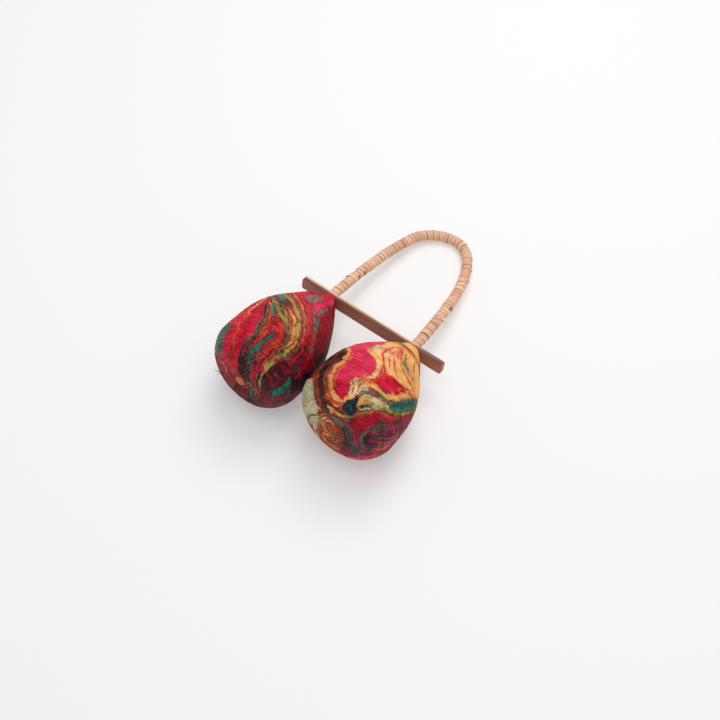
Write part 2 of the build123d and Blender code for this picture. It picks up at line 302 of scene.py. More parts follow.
FILLS_RIGHT = [
    ("gold", [(-36, -0.03), (-31, 0.1), (-24, 0.2), (-16, 0.28), (-16, 0.42), (-4, 0.445), (7, 0.49),
        (22, 0.5), (48, 0.46), (62, 0.43), (78, 0.35), (92, 0.2), (100, -0.03)]),
    # painted shade: this rust fill darkens the gold neck on its outer side, next to the slat
    ("rust", [(62, -0.03), (66, 0.08), (58, 0.13), (64, 0.17), (104, 0.2), (108, -0.03)]),
    ("sage", [(-130, 0.68), (-85, 0.65), (-66, 0.69), (-56, 0.69), (-48, 0.715), (-47, 0.78), (-52, 0.84),
        (-66, 0.885), (-94, 0.91), (-130, 0.87)]),
    ("rust", [(-206, 0.62), (-128, 0.68), (-122, 0.87), (-100, 0.91), (-120, 0.95), (-206, 0.95)]),
    ("maroon", [(-110, 0.36), (-60, 0.37), (-44, 0.44), (-34, 0.49), (-30, 0.56), (-32, 0.62),
        (-32, 0.69), (-25, 0.75), (-20, 0.8), (-24, 0.9), (-44, 0.9), (-50, 0.8), (-48, 0.7), (-60, 0.68),
        (-110, 0.66)]),
    ("rose", [(-85, 0.1), (-38, 0.1), (-30, 0.2), (-17, 0.26), (-16, 0.33), (-16, 0.42), (-10, 0.443),
        (-3, 0.447), (3, 0.468), (7, 0.495), (10, 0.52), (10, 0.56), (4, 0.615), (0, 0.645), (0, 0.667),
        (3.5, 0.7), (5, 0.74), (1, 0.775), (-8, 0.773), (-16, 0.75), (-21, 0.7), (-22.5, 0.66),
        (-23, 0.605), (-25, 0.525), (-33, 0.468), (-46, 0.42), (-60, 0.36), (-85, 0.33)]),
    ("crimson", [(-19, 0.7), (-6, 0.67), (2, 0.69), (4, 0.74), (1, 0.775), (-12, 0.765)]),
    ("peach", [(-16, 0.27), (-12, 0.23), (-4, 0.19), (4, 0.2), (13, 0.26), (20, 0.36), (26, 0.43),
        (20, 0.47), (10, 0.43), (2, 0.41), (-8, 0.41), (-15, 0.37)]),
    ("salmon", [(3, 0.205), (9, 0.21), (14, 0.24), (15, 0.285), (11, 0.295), (7, 0.26)]),
    ("gold", [(16, 0.25), (26, 0.33), (42, 0.39), (60, 0.39), (56, 0.44), (34, 0.46), (24, 0.42),
        (18, 0.34)]),
    ("crimson", [(9, 0.46), (13, 0.455), (20, 0.48), (26, 0.47), (36, 0.455), (48, 0.44), (49, 0.478),
        (44, 0.515), (38, 0.54), (34, 0.57), (26, 0.583), (20, 0.583), (15, 0.597), (7, 0.63), (10, 0.6),
        (16, 0.57), (14, 0.51)]),
    ("deep", [(14, 0.88), (24, 0.82), (28, 0.76), (31, 0.7), (38, 0.64), (44, 0.6), (52, 0.57),
        (65, 0.48), (89, 0.33), (130, 0.38), (135, 0.88)]),
    ("plum", [(66, 0.62), (78, 0.5), (95, 0.42), (125, 0.46), (126, 0.87), (74, 0.87), (60, 0.8),
        (62, 0.7)]),
    ("crimson", [(32, 0.8), (34, 0.73), (40, 0.69), (52, 0.64), (62, 0.585), (60, 0.65), (52, 0.72),
        (46, 0.79)]),
    ("plum", [(118, 0.5), (160, 0.5), (156, 0.94), (130, 0.94), (120, 0.89), (128, 0.8), (118, 0.72)]),
    ("rose", [(124, 0.62), (150, 0.62), (150, 0.79), (132, 0.78), (118, 0.72)]),
    ("peach", [(-6, 0.425), (6, 0.455), (13, 0.49), (15.5, 0.55), (14, 0.575), (8, 0.6), (3, 0.625),
        (0, 0.64), (5, 0.61), (10.5, 0.565), (10.5, 0.525), (7, 0.49), (2, 0.46), (-8, 0.443)]),
    ("cream", [(0, 0.657), (2, 0.628), (10, 0.608), (15, 0.605), (18, 0.635), (15, 0.672), (11, 0.705),
        (10, 0.73), (7, 0.748), (4, 0.71)]),
    ("gold", [(5, 0.72), (9, 0.735), (7, 0.76), (4, 0.81), (-20, 0.81), (-28, 0.76), (-15, 0.765),
        (0, 0.785), (4, 0.765)]),
    ("ink", [(6, 0.78), (8, 0.755), (12, 0.738), (14, 0.713), (17, 0.705), (20, 0.73), (23, 0.745),
        (26, 0.765), (27, 0.79), (25, 0.82), (20, 0.835), (12, 0.83), (8, 0.81)]),
    ("cream", [(19, 0.71), (21, 0.675), (26, 0.652), (30, 0.635), (36, 0.625), (42, 0.615), (47, 0.6),
        (52, 0.6), (48, 0.618), (43, 0.64), (40, 0.67), (36, 0.695), (34, 0.715), (28, 0.73),
        (23, 0.745)]),
    ("gold", [(18.5, 0.715), (22, 0.68), (26, 0.672), (29, 0.683), (27, 0.705), (24, 0.73), (21, 0.735)]),
    ("pine", [(45, 0.6), (48, 0.572), (52, 0.54), (60, 0.48), (68, 0.42), (76, 0.37), (86, 0.35),
        (84, 0.39), (72, 0.46), (64, 0.53), (58, 0.575), (52, 0.605), (48, 0.615)]),
    ("maroon", [(-48, 0.9), (-10, 0.885), (30, 0.875), (110, 0.87), (135, 0.9), (135, 0.935),
        (-48, 0.935)]),
    ("brown", [(-60, 0.9), (-40, 0.87), (-26, 0.85), (-12, 0.88), (-30, 0.94), (-60, 0.94)]),
    ("rust", [(-62, 0.905), (-30, 0.89), (0, 0.888), (28, 0.885), (44, 0.9), (30, 0.93), (-30, 0.94)]),
]
VEINS_RIGHT = [
    ("olive", "grey", 2.0, [(-44, 0.045), (-30, 0.07), (-16, 0.095), (0, 0.108), (12, 0.115)]),
    ("rust", "brown", 1.0, [(6, 0.105), (20, 0.115), (34, 0.12), (48, 0.13)]),
    ("rust", "orange", 0.8, [(-26, 0.13), (-4, 0.14), (20, 0.145), (44, 0.16)]),
    ("salmon", "crimson", 0.9, [(13, 0.47), (10, 0.448), (5, 0.413), (0, 0.378), (-2, 0.325), (-4, 0.27),
        (-2, 0.225), (2, 0.2), (9, 0.205), (14, 0.24), (17, 0.29), (13, 0.31), (9, 0.29)]),
    ("peach", "rose", 0.8, [(2, 0.24), (6, 0.27), (6, 0.31), (10, 0.35)]),
    ("gold", "crimson", 1.0, [(14, 0.247), (24, 0.343), (30, 0.365), (38, 0.38), (46, 0.388), (54, 0.388),
        (70, 0.383)]),
    ("gold", "crimson", 1.0, [(46, 0.437), (52, 0.43), (60, 0.415), (68, 0.39)]),
    ("peach", "orange", 0.9, [(12, 0.33), (18, 0.39), (25, 0.43), (34, 0.445)]),
    ("peach", "orange", 0.8, [(8, 0.36), (13, 0.41), (18, 0.45)]),
    ("gold", "rust", 0.7, [(40, 0.16), (45, 0.25), (48, 0.34), (50, 0.39)]),
    ("gold", "olive", 0.9, [(18, 0.2), (24, 0.27), (26, 0.32), (33, 0.35)]),
    ("olive", "grey", 1.8, [(25, 0.29), (30, 0.31), (37, 0.33)]),
    ("olive", "sage", 1.2, [(-17, 0.3), (-15, 0.36), (-13, 0.4)]),
    ("gold", "orange", 1.2, [(50, 0.46), (58, 0.435), (66, 0.405), (76, 0.36)]),
    ("orange", "gold", 1.2, [(-36, 0.405), (-44, 0.425), (-40, 0.447), (-34, 0.463), (-30, 0.49),
        (-26.5, 0.527), (-27, 0.557), (-28, 0.58)]),
    ("orange", "gold", 2.3, [(-26, 0.55), (-26, 0.61), (-26, 0.667), (-25, 0.705), (-19, 0.745),
        (-11, 0.772), (-2, 0.785), (6, 0.775)]),
    ("brown", "orange", 0.9, [(-31, 0.6), (-31, 0.66), (-29, 0.71), (-24, 0.75), (-14, 0.79)]),
    ("brown", "rust", 1.8, [(-48, 0.445), (-46, 0.49), (-44, 0.545), (-43, 0.6)]),
    ("brown", "rust", 1.7, [(-56, 0.53), (-52, 0.58), (-49, 0.642), (-46, 0.693), (-42, 0.743),
        (-39, 0.8), (-42, 0.87)]),
    ("rust", "brick", 0.9, [(-60, 0.6), (-56, 0.65), (-51, 0.7), (-46, 0.76), (-45, 0.82)]),
    ("maroon", "ink", 1.2, [(-47, 0.54), (-44, 0.6), (-40, 0.657), (-33, 0.72), (-27, 0.79),
        (-23, 0.85)]),
    ("maroon", "rust", 1.1, [(-36, 0.54), (-36, 0.62), (-35, 0.68), (-28, 0.74), (-22, 0.79),
        (-16, 0.85)]),
    ("sage", "peach", 1.0, [(-104, 0.71), (-90, 0.75), (-76, 0.79), (-64, 0.83)]),
    ("sage", "brick", 0.6, [(-110, 0.74), (-92, 0.79), (-78, 0.83), (-64, 0.87)]),
    ("cream", "cream", 1.2, [(-88, 0.79), (-76, 0.83), (-70, 0.86), (-84, 0.885)]),
    ("olive", "brick", 0.7, [(-125, 0.8), (-108, 0.83), (-88, 0.87), (-70, 0.895)]),
    ("olive", "sage", 1.5, [(-165, 0.84), (-140, 0.87), (-120, 0.885), (-90, 0.915)]),
    ("brown", "orange", 1.1, [(-178, 0.86), (-150, 0.885), (-120, 0.905), (-84, 0.925)]),
    ("olive", "pine", 1.2, [(-200, 0.74), (-178, 0.76), (-160, 0.78), (-145, 0.82)]),
    ("brown", "gold", 0.8, [(-204, 0.86), (-185, 0.84), (-165, 0.86), (-150, 0.91), (-170, 0.935),
        (-195, 0.925)]),
    ("brown", "orange", 0.8, [(-204, 0.8), (-180, 0.8), (-150, 0.84), (-136, 0.89)]),
    ("rust", "sage", 1.6, [(-160, 0.78), (-140, 0.83), (-118, 0.87), (-90, 0.9)]),
    ("rust", "crimson", 0.8, [(-175, 0.8), (-150, 0.865), (-120, 0.9)]),
    ("orange", "orange", 0.7, [(16, 0.49), (17.5, 0.55), (16, 0.58), (10, 0.603), (4, 0.63)]),
    ("orange", "cream", 0.7, [(11, 0.49), (13, 0.53), (12.5, 0.565), (8, 0.59)]),
    ("olive", "orange", 0.6, [(1, 0.66), (5, 0.68), (9, 0.71)]),
    ("olive", "orange", 0.6, [(5, 0.63), (9, 0.655), (13, 0.685)]),
    ("deep", "orange", 1.2, [(-22, 0.785), (-10, 0.808), (-3, 0.806), (5, 0.8)]),
    ("rust", "brown", 1.2, [(-26, 0.8), (-14, 0.828), (-3, 0.836), (8, 0.84), (18, 0.85)]),
    ("rust", "gold", 1.4, [(-22, 0.84), (-8, 0.855), (6, 0.86), (18, 0.848), (28, 0.82)]),
    ("orange", "gold", 2.2, [(14, 0.62), (18, 0.606), (24, 0.598), (30, 0.593), (36, 0.583), (41, 0.558),
        (46, 0.522), (50, 0.483), (58, 0.448), (68, 0.393)]),
    ("ink", "grey", 1.3, [(14, 0.715), (16, 0.695), (18, 0.667), (23, 0.638), (28, 0.617), (34, 0.609),
        (40, 0.6), (44, 0.585), (48, 0.562), (53, 0.522), (58, 0.482), (65, 0.432), (74, 0.378)]),
    ("ink", "pine", 1.2, [(50, 0.565), (55, 0.525), (61, 0.475), (68, 0.42)]),
    ("pine", "teal", 1.6, [(50, 0.598), (57, 0.567), (64, 0.512), (72, 0.452), (80, 0.405)]),
    ("olive", "lime", 1.1, [(40, 0.668), (46, 0.63), (53, 0.612), (60, 0.582), (67, 0.532), (76, 0.465)]),
    ("ink", "teal", 0.9, [(29, 0.577), (32, 0.578), (35, 0.572)]),
    ("ink", "ink", 1.2, [(24, 0.738), (28, 0.71), (33, 0.684)]),
    ("ink", "cream", 0.7, [(26, 0.745), (30, 0.725), (34, 0.702)]),
    ("ink", "teal", 0.5, [(11, 0.8), (16, 0.765), (21, 0.785)]),
    ("olive", "lime", 0.7, [(22, 0.842), (28, 0.812), (31, 0.765), (34, 0.725)]),
    ("deep", "pine", 1.6, [(53, 0.675), (54, 0.7), (58, 0.715)]),
    ("deep", "pine", 1.6, [(61, 0.662), (60, 0.715), (61, 0.755)]),
    ("wine", "grey", 1.2, [(58, 0.755), (62, 0.802), (74, 0.82), (87, 0.812), (98, 0.79)]),
    ("maroon", "ink", 1.3, [(66, 0.77), (72, 0.795), (82, 0.79), (80, 0.755), (84, 0.73)]),
    ("wine", "grey", 1.1, [(70, 0.745), (76, 0.7), (82, 0.645), (88, 0.583)]),
    ("deep", "rose", 1.0, [(76, 0.77), (82, 0.71), (90, 0.62), (98, 0.58)]),
    ("wine", "pine", 1.2, [(98, 0.805), (90, 0.77), (84, 0.735), (85, 0.7), (90, 0.64)]),
    ("rose", "salmon", 1.3, [(95, 0.74), (93, 0.7), (92, 0.655)]),
    ("maroon", "grey", 1.3, [(-24, 0.89), (6, 0.905), (30, 0.89), (46, 0.875), (67, 0.875), (92, 0.875)]),
    ("maroon", "pine", 1.9, [(90, 0.875), (109, 0.845), (120, 0.795)]),
    ("maroon", "rose", 0.8, [(30, 0.87), (50, 0.858), (70, 0.858), (96, 0.855)]),
    ("maroon", "grey", 0.9, [(-11, 0.925), (18, 0.912), (44, 0.897), (69, 0.897), (92, 0.893)]),
    ("rose", "salmon", 1.0, [(124, 0.775), (112, 0.735), (104, 0.715)]),
    ("rust", "gold", 0.9, [(-170, 0.955), (-110, 0.95), (-60, 0.945), (-20, 0.94), (10, 0.95)]),
    ("brown", "gold", 0.8, [(-130, 0.935), (-90, 0.93), (-50, 0.925), (-30, 0.915)]),
    ("rust", "orange", 0.9, [(-120, 0.972), (-60, 0.966), (0, 0.97), (60, 0.965)]),
]
RINGS = {
    "left": [("deep", 0.948, 0.966), ("rust", 0.966, 1.1)],
    "right": [("rust", 0.92, 1.1), ("brown", 0.934, 0.941), ("brown", 0.957, 0.963)],
}
FILLS = {"left": FILLS_LEFT, "right": FILLS_RIGHT}
VEINS = {"left": VEINS_LEFT, "right": VEINS_RIGHT}

# ---------------------------------------------------------------- stage, light and camera
FLOOR_REACH = 3.0  # in metres
FLOOR_GREY = 0.655
FLOOR_GLOW = 0.29
WORLD_STRENGTH = 0.5
# Lights: place and diameter in metres, and power in watts; they face the origin.
LIGHTS = {"key": ((-0.15, 0.6, 1.15), 0.8, 6.6), "overhead": ((0.2, -0.1, 1.3), 0.9, 4.0)}
CAMERA_AZIMUTH = math.radians(37.07)
CAMERA_ELEVATION = math.radians(58.29)
CAMERA_DISTANCE = 893.98  # in mm, from the middle of the slat
CAMERA_RIGHT = -7.85  # in mm, across and up the picture
CAMERA_UP = -27.39
LENS = 60
SENSOR = 36


def linear(colour):
    """Linear light from an sRGB colour of 0 to 255."""
    c = np.asarray(colour, float) / 255
    return np.where(c < 0.04045, c / 12.92, ((c + 0.055) / 1.055) ** 2.4)


def blend(first, second, amount):
    """The first colour, giving way to the second by an amount of 0 to 1 for each point."""
    amount = amount[:, None]
    return first * (1 - amount) + second * amount


def smoothstep(low, high, x):
    """A smooth rise from 0 at low to 1 at high; with low above high, a fall."""
    t = np.clip((x - low) / (high - low), 0, 1)
    return t * t * (3 - 2 * t)


def waves(points, scale, seed, count=14):
    """Smooth noise of about -1 to 1 at the points, with features about as wide as scale, in mm."""
    rng = np.random.default_rng(seed)
    directions = rng.normal(size=(count, 3))
    directions /= np.linalg.norm(directions, axis=1, keepdims=True)
    lengths = scale * rng.uniform(1.2, 3.0, count)
    phases = rng.uniform(0, 2 * math.pi, count)
    total = np.zeros(len(points))
    for direction, length, phase in zip(directions, lengths, phases):
        total += np.sin(points @ direction * (2 * math.pi / length) + phase)
    return total / math.sqrt(count)


def strip_noise(wound, cells, seed, size=8192):
    """Noise along a wound strip, with this many cells in each turn; wound counts the turns from its start."""
    table = np.random.default_rng(seed).normal(size=size)
    place = wound * cells
    left = np.floor(place).astype(int)
    t = place - left
    t = t * t * (3 - 2 * t)
    return table[left % size] * (1 - t) + table[(left + 1) % size] * t


def around(a):
    """The angle brought into -180 to 180 degrees."""
    return (a + 180) % 360 - 180


def curve_through(points, closed=False, steps=6):
    """A smooth curve through these points, as a line of short straight steps."""
    p = np.array(points, float)
    count = len(p)
    spans = count if closed else count - 1
    out = []
    for i in range(spans):
        if closed:
            p0, p1, p2, p3 = (p[(i + k) % count] for k in (-1, 0, 1, 2))
        else:
            p0, p1, p2, p3 = p[max(i - 1, 0)], p[i], p[i + 1], p[min(i + 2, count - 1)]
        for t in np.arange(steps) / steps:
            out.append(0.5 * (2 * p1 + (p2 - p0) * t + (2 * p0 - 5 * p1 + 4 * p2 - p3) * t**2
                              + (3 * p1 - p0 - 3 * p2 + p3) * t**3))
    if not closed:
        out.append(p[-1])
    return np.array(out)


class Marbling:
    """Paints dyes onto the points of a shell."""

    FEATHER = 0.45  # mm over which one dye gives way to the next
    REACH = 9.0  # mm beyond a stroke within which points are tested
    CORE = 0.72  # share of a vein's given width that its dye fills outright
    DRIFT = (0.35, 6.0)  # mm that dyes stray round the shell, and how wide the waves are
    RISE = (0.3, 7.0)  # the same along the shell
    WANDER = (0.5, 4.0)  # the same for the fine threads
    TEETH = ((1.3, 24), (1.0, 80))  # how far dyes run along single turns, and noise cells in a turn
    FILL_THREADS = (1.6, 3.8)  # mm inside the edge of a fill
    TIP = 0.3  # share of its width that a vein has at its ends
    WIDENING = 4  # how fast it widens from there, in widths for its whole length

    def __init__(self, a, d, radius, length, points, wound, ragged, seed):
        self.radius, self.length = np.maximum(radius, 1.0), length
        (long_tooth, long_cells), (short_tooth, short_cells) = self.TEETH
        serration = (long_tooth * ragged * strip_noise(wound, long_cells, seed)
                     + short_tooth * ragged * strip_noise(wound, short_cells, seed + 1))
        drift = self.DRIFT[0] * waves(points, self.DRIFT[1], seed + 2) + serration
        rise = self.RISE[0] * waves(points, self.RISE[1], seed + 3)
        self.wander = self.WANDER[0] * waves(points, self.WANDER[1], seed + 5)
        self.showing = smoothstep(-0.5, 0.4, waves(points, 9.0, seed + 6))
        self.paint_a = a + np.degrees(drift / self.radius)
        self.paint_d = d + rise / length
        shade = waves(points, 5.0, seed + 4) + 0.35 * serration + 0.35 * strip_noise(wound, 110, seed + 7)
        self.shade = smoothstep(-0.7, 0.9, shade)
        self.colour = np.zeros((len(a), 3))

    def dye(self, name, where):
        """A dye's colour at these points, between its main colour and its other shade."""
        main, other = (linear(colour) for colour in DYES[name][:2])
        return blend(main, other, self.shade[where])

    def lay(self, name, where, amount):
        """Paints a dye over what is there."""
        self.colour[where] = blend(self.colour[where], self.dye(name, where), amount)

    def near(self, outline):
        """Indices of the points around an outline."""
        middle = outline[:, 0].mean()
        spread = around(outline[:, 0] - middle)
        reach_a = np.degrees(self.REACH / self.radius)
        reach_d = self.REACH / self.length
        offset = around(self.paint_a - middle)
        inside_a = (offset > spread.min() - reach_a) & (offset < spread.max() + reach_a)
        low, high = outline[:, 1].min() - reach_d, outline[:, 1].max() + reach_d
        inside_d = (self.paint_d > low) & (self.paint_d < high)
        return np.nonzero(inside_a & inside_d)[0]

    def distance(self, outline, where):
        """Distance in mm from the points to an outline, and how far along it the nearest place is."""
        a, d, radius = self.paint_a[where], self.paint_d[where], self.radius[where]
        best = np.full(len(where), 1e9)
        along = np.zeros(len(where))
        spans = len(outline) - 1
        for i, (p, q) in enumerate(zip(outline, outline[1:])):
            mm = np.radians(1.0) * radius
            x, y = around(a - p[0]) * mm, (d - p[1]) * self.length
            sx, sy = (q[0] - p[0]) * mm, (q[1] - p[1]) * self.length
            t = np.clip((x * sx + y * sy) / (sx * sx + sy * sy + 1e-9), 0, 1)
            gap = np.hypot(x - t * sx, y - t * sy)
            closer = gap < best
            best[closer] = gap[closer]
            along[closer] = (i + t[closer]) / spans
        return best, along

    def threads(self, name, where, gap, offsets, strength):
        """Fine lines of a dye that run at these distances from an edge, coming and going."""
        for offset in offsets:
            line = np.abs(gap + self.wander[where] - offset)
            amount = smoothstep(0.55, 0.15, line) * self.showing[where] * strength
            self.lay(name, where, amount)

    def ring(self, name, low, high):
        """A band of dye right round the shell."""
        where = np.nonzero((self.paint_d > low) & (self.paint_d < high))[0]
        self.lay(name, where, np.ones(len(where)))

    def inside(self, outline, where):
        """Which of these points a closed outline surrounds: it lies an odd number of times on one side."""
        middle = outline[:, 0].mean()
        a, d = around(self.paint_a[where] - middle), self.paint_d[where]
        inside = np.zeros(len(where), bool)
        ring = np.column_stack([outline[:, 0] - middle, outline[:, 1]])
        for p, q in zip(ring, np.roll(ring, -1, axis=0)):
            if p[1] != q[1]:
                crossing = (d < p[1]) != (d < q[1])
                inside ^= crossing & (a < p[0] + (q[0] - p[0]) * (d - p[1]) / (q[1] - p[1]))
        return inside

    def fill(self, name, points):
        """A patch of dye with a soft edge and fine threads inside it."""
        outline = curve_through(points, closed=True)
        where = self.near(outline)
        gap, _ = self.distance(np.vstack([outline, outline[:1]]), where)
        gap = np.where(self.inside(outline, where), gap, -gap)
        self.lay(name, where, smoothstep(-self.FEATHER, self.FEATHER, gap))
        self.threads(DYES[name][2], where, gap, self.FILL_THREADS, 0.4)

    def vein(self, edge, name, half_width, points):
        """A line that tapers at its ends, with a thin edge of another dye."""
        outline = curve_through(points)
        where = self.near(outline)
        gap, along = self.distance(outline, where)
        taper = np.minimum(1, self.TIP + self.WIDENING * np.minimum(along, 1 - along))
        swell = 1 + 0.25 * np.sin(17 * along + 3 * half_width)
        half = self.CORE * half_width * taper * swell
        edge_half = half + 0.3 + 0.15 * half_width
        self.threads(edge, where, gap - edge_half, (1.1,), 0.6)
        self.threads(name, where, gap - edge_half, (1.9,), 0.4)
        self.lay(edge, where, 0.8 * smoothstep(self.FEATHER, -self.FEATHER, gap - edge_half))
        self.lay(name, where, smoothstep(self.FEATHER, -self.FEATHER, gap - half))

    def flecks(self, wound, strength, seed):
        """Short dark and pale flecks in single turns, where other dyes have crept along the fibres."""
        everywhere = slice(None)
        dark = 0.6 * strength * smoothstep(0.7, 1.7, strip_noise(wound, 130, seed))
        self.lay("ink", everywhere, dark)
        dull = 0.3 * strength * smoothstep(0.9, 1.9, strip_noise(wound, 70, seed + 1))
        self.lay("grey", everywhere, dull)
        pale = 0.45 * strength * smoothstep(0.9, 1.9, strip_noise(wound, 170, seed + 2))[:, None]
        self.colour = self.colour + pale * (0.35 * self.colour + 0.05)

    def bands(self, scheme, points, seed):
        """Swirled bands of dye all over, as marbling leaves them."""
        warp = np.column_stack([waves(points, 20, seed + k) for k in range(3)])
        field = 1.5 * waves(points + 8 * warp, 34, seed + 4) + 0.10 * waves(points, 7, seed + 5)
        t = field % 1.0
        edge = 0.0
        everywhere = np.arange(len(t))
        for name, share in scheme:
            where = everywhere[(t >= edge) & (t < edge + share)]
            self.colour[where] = self.dye(name, where)
            edge += share
        where = everywhere[t >= edge]
        self.colour[where] = self.dye(scheme[-1][0], where)


# ---------------------------------------------------------------- places
def axes():
    """The middle of the slat, and the directions of u, v and w, in the row frame; lengths in mm."""
    low, high = (np.array(corner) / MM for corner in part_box("crossbar"))
    middle = (low + high) / 2 - (BAR_OFFSET, 0, 0)
    cos, sin = math.cos(REST_TILT), math.sin(REST_TILT)
    return middle, np.array([(1, 0, 0), (0, cos, -sin), (0, sin, cos)])


def to_world(points):
    """Points (u, v, w) in mm as places in metres in the row frame."""
    middle, directions = axes()
    return (middle + np.asarray(points) @ directions) * MM


def bezier(points, steps=300):
    """A cubic curve with these four control points."""
    t = np.linspace(0, 1, steps)[:, None]
    p = np.array(points, float)
    return (1 - t) ** 3 * p[0] + 3 * t * (1 - t) ** 2 * p[1] + 3 * t**2 * (1 - t) * p[2] + t**3 * p[3]


class Meridian:
    """The outline of a pear: distance s from the slat and radius r against distance m along the surface."""

    def __init__(self, length, radius, neck):
        widest = WIDEST * length
        flank = [(0, neck), (0.412 * length, 0.973 * radius), (0.481 * length, radius), (widest, radius)]
        crown = [(widest, radius), (0.979 * length, radius), (length, 0.465 * radius), (length, 0)]
        self.line = np.vstack([bezier(flank), bezier(crown)[1:]])
        runs = np.hypot(*np.diff(self.line, axis=0).T)
        self.m = np.concatenate([[0], np.cumsum(runs)])
        self.total = self.m[-1]

    def at(self, m):
        """Distance s from the slat and radius r at a distance m along the surface."""
        return np.interp(m, self.m, self.line[:, 0]), np.interp(m, self.m, self.line[:, 1])

    def slope(self, m):
        """How s and r change along the surface."""
        s0, r0 = self.at(m - 0.3)
        s1, r1 = self.at(m + 0.3)
        run = np.hypot(s1 - s0, r1 - r0) + 1e-9
        return (s1 - s0) / run, (r1 - r0) / run

    def m_at(self, s):
        """Distance along the surface at a distance s from the slat."""
        return float(np.interp(s, self.line[:, 0], self.m))

    def m_at_hole(self, radius):
        """Distance along the surface where the crown has closed to this radius."""
        closing = self.m > self.m_at(WIDEST * self.line[-1, 0])
        return float(np.interp(-radius, -self.line[closing, 1], self.m[closing]))


def rattle_frame(rattle):
    """Neck centre, axis towards the crown, direction of a = 90 and direction of a = 0, in (u, v, w)."""
    droop = math.radians(rattle["droop"])
    neck = np.array([rattle["side"] * NECK_SPACING / 2, -BAR_THICKNESS / 2, 0])
    axis = np.array([0, -math.cos(droop), -math.sin(droop)])
    across = np.array([1.0, 0, 0])
    top = np.array([0, -math.sin(droop), math.cos(droop)])
    return neck, axis, across, top


def revolve(rattle, a, s, r):
    """Points at angle a, distance s along the axis and radius r from it, in (u, v, w)."""
    neck, axis, across, top = rattle_frame(rattle)
    radial = np.outer(np.sin(np.radians(a)), across) + np.outer(np.cos(np.radians(a)), top)
    return neck + np.outer(s, axis) + radial * np.asarray(r)[:, None]


# ---------------------------------------------------------------- meshes
def grid_faces(rows, columns):
    """Corner indices of the quads of a grid."""
    i, j = np.meshgrid(np.arange(rows - 1), np.arange(columns - 1), indexing="ij")
    base = (i * columns + j).ravel()
    return np.column_stack([base, base + columns, base + columns + 1, base + 1])


def ribbon(rings):
    """Points and quads of a closed tube through rings of points, all of the same size, capped at its ends."""
    count, size = rings.shape[:2]
    i, j = np.meshgrid(np.arange(count - 1), np.arange(size), indexing="ij")
    k = (j + 1) % size
    sides = np.column_stack([(i * size + j).ravel(), (i * size + k).ravel(),
                             ((i + 1) * size + k).ravel(), ((i + 1) * size + j).ravel()])
    half = np.arange(size // 2 - 1)
    cap = np.column_stack([half, size - 1 - half, size - 2 - half, half + 1])
    far = cap[:, ::-1] + (count - 1) * size
    return rings.reshape(-1, 3), np.vstack([sides, cap, far])


def mesh_from(name, points, faces, face_uvs=None):
    """A mesh from points in metres and quads, with doubled points welded and empty faces left out."""
    keys = np.round(points / 1e-7).astype(np.int64)
    _, first, welded = np.unique(keys, axis=0, return_index=True, return_inverse=True)
    welded = welded.ravel()
    corners = welded[faces]
    polygons, uvs = [], []
    for n, quad in enumerate(corners.tolist()):
        kept = [k for k in range(4) if quad[k] != quad[k - 1]]
        if len(kept) > 2 and len({quad[k] for k in kept}) == len(kept):
            polygons.append([quad[k] for k in kept])
            if face_uvs is not None:
                uvs.extend(face_uvs[n, k] for k in kept)
    mesh = bpy.data.meshes.new(name)
    mesh.from_pydata(points[first].tolist(), [], polygons)
    mesh.update()
    if face_uvs is not None:
        layer = mesh.uv_layers.new(name="OFBake")
        layer.data.foreach_set("uv", np.array(uvs, np.float32).ravel())
    mesh.shade_smooth()
    return mesh, first


def add_piece(name, mesh, body, material, replaces=()):
    """Links a mesh as a piece that rides on a body."""
    piece = bpy.data.objects.new(name, mesh)
    bpy.context.scene.collection.objects.link(piece)
    mesh.materials.append(material)
    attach(piece, body)
    if replaces:
        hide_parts(*replaces)


def store(layer, field, values):
    """Fills an attribute of the mesh's points."""
    layer.data.foreach_set(field, values.astype(np.float32).ravel())


def set_looks(mesh, kept, colour, groove, fibre):
    """Stores the colour, the groove value that sets the painted shade, and place along the fibres of the
    points that were kept.
    """
    rgba = np.column_stack([colour, np.ones(len(colour))])
    store(mesh.color_attributes.new("dye", "FLOAT_COLOR", "POINT"), "color", rgba[kept])
    store(mesh.attributes.new("groove", "FLOAT", "POINT"), "value", groove[kept])
    store(mesh.attributes.new("fibre", "FLOAT_VECTOR", "POINT"), "vector", fibre[kept])


def join_ribbons(tubes):
    """Points and quads of several tubes as one mesh."""
    points, faces, offset = [], [], 0
    for rings in tubes:
        tube_points, tube_faces = ribbon(rings)
        points.append(tube_points)
        faces.append(tube_faces + offset)
        offset += len(tube_points)
    return np.vstack(points), np.vstack(faces)


# ---------------------------------------------------------------- shells
def coil_grid(limits, pitch):
    """Distances along the surface, in rows that climb with the coil and stop at its limits."""
    m_start, m_end = limits
    step = pitch / STEPS
    columns = np.arange(COLUMNS + 1)
    rows = np.arange(math.floor(m_start / step) - STEPS, math.ceil(m_end / step) + 1)
    return np.clip((rows[:, None] + STEPS * columns / COLUMNS) * step, m_start, m_end)


def coil_relief(a, m, pitch, points, groove, seed):
    """Height in mm of the coil's surface over the smooth pear, how deep in a groove (which sets the painted
    shade there), and turns wound.
    """
    share = (a + 180) / 360
    phase = np.round(m / pitch - share, 6)
    turn = np.floor(phase)
    wound = turn + share
    across = np.abs(2 * (phase - turn) - 1)
    depth = groove * np.clip(1 + GROOVE_CHANGE * strip_noise(wound, 3, seed), 0.4, 2.2)
    lift = np.zeros(len(m))
    for n, (size, cells) in enumerate(STRIP_LIFTS):
        lift += size * strip_noise(wound, cells, seed + 1 + n)
    for n, (size, width) in enumerate(SHELL_LUMPS):
        lift += size * waves(points, width, seed + 3 + n)
    # painted shade: darker towards the middle of each groove, more in some turns than in others
    groove_shade = across**3 * np.clip(0.85 + 0.35 * strip_noise(wound, 9, seed + 7), 0, 1.3)
    return lift - depth * across**3, groove_shade, wound


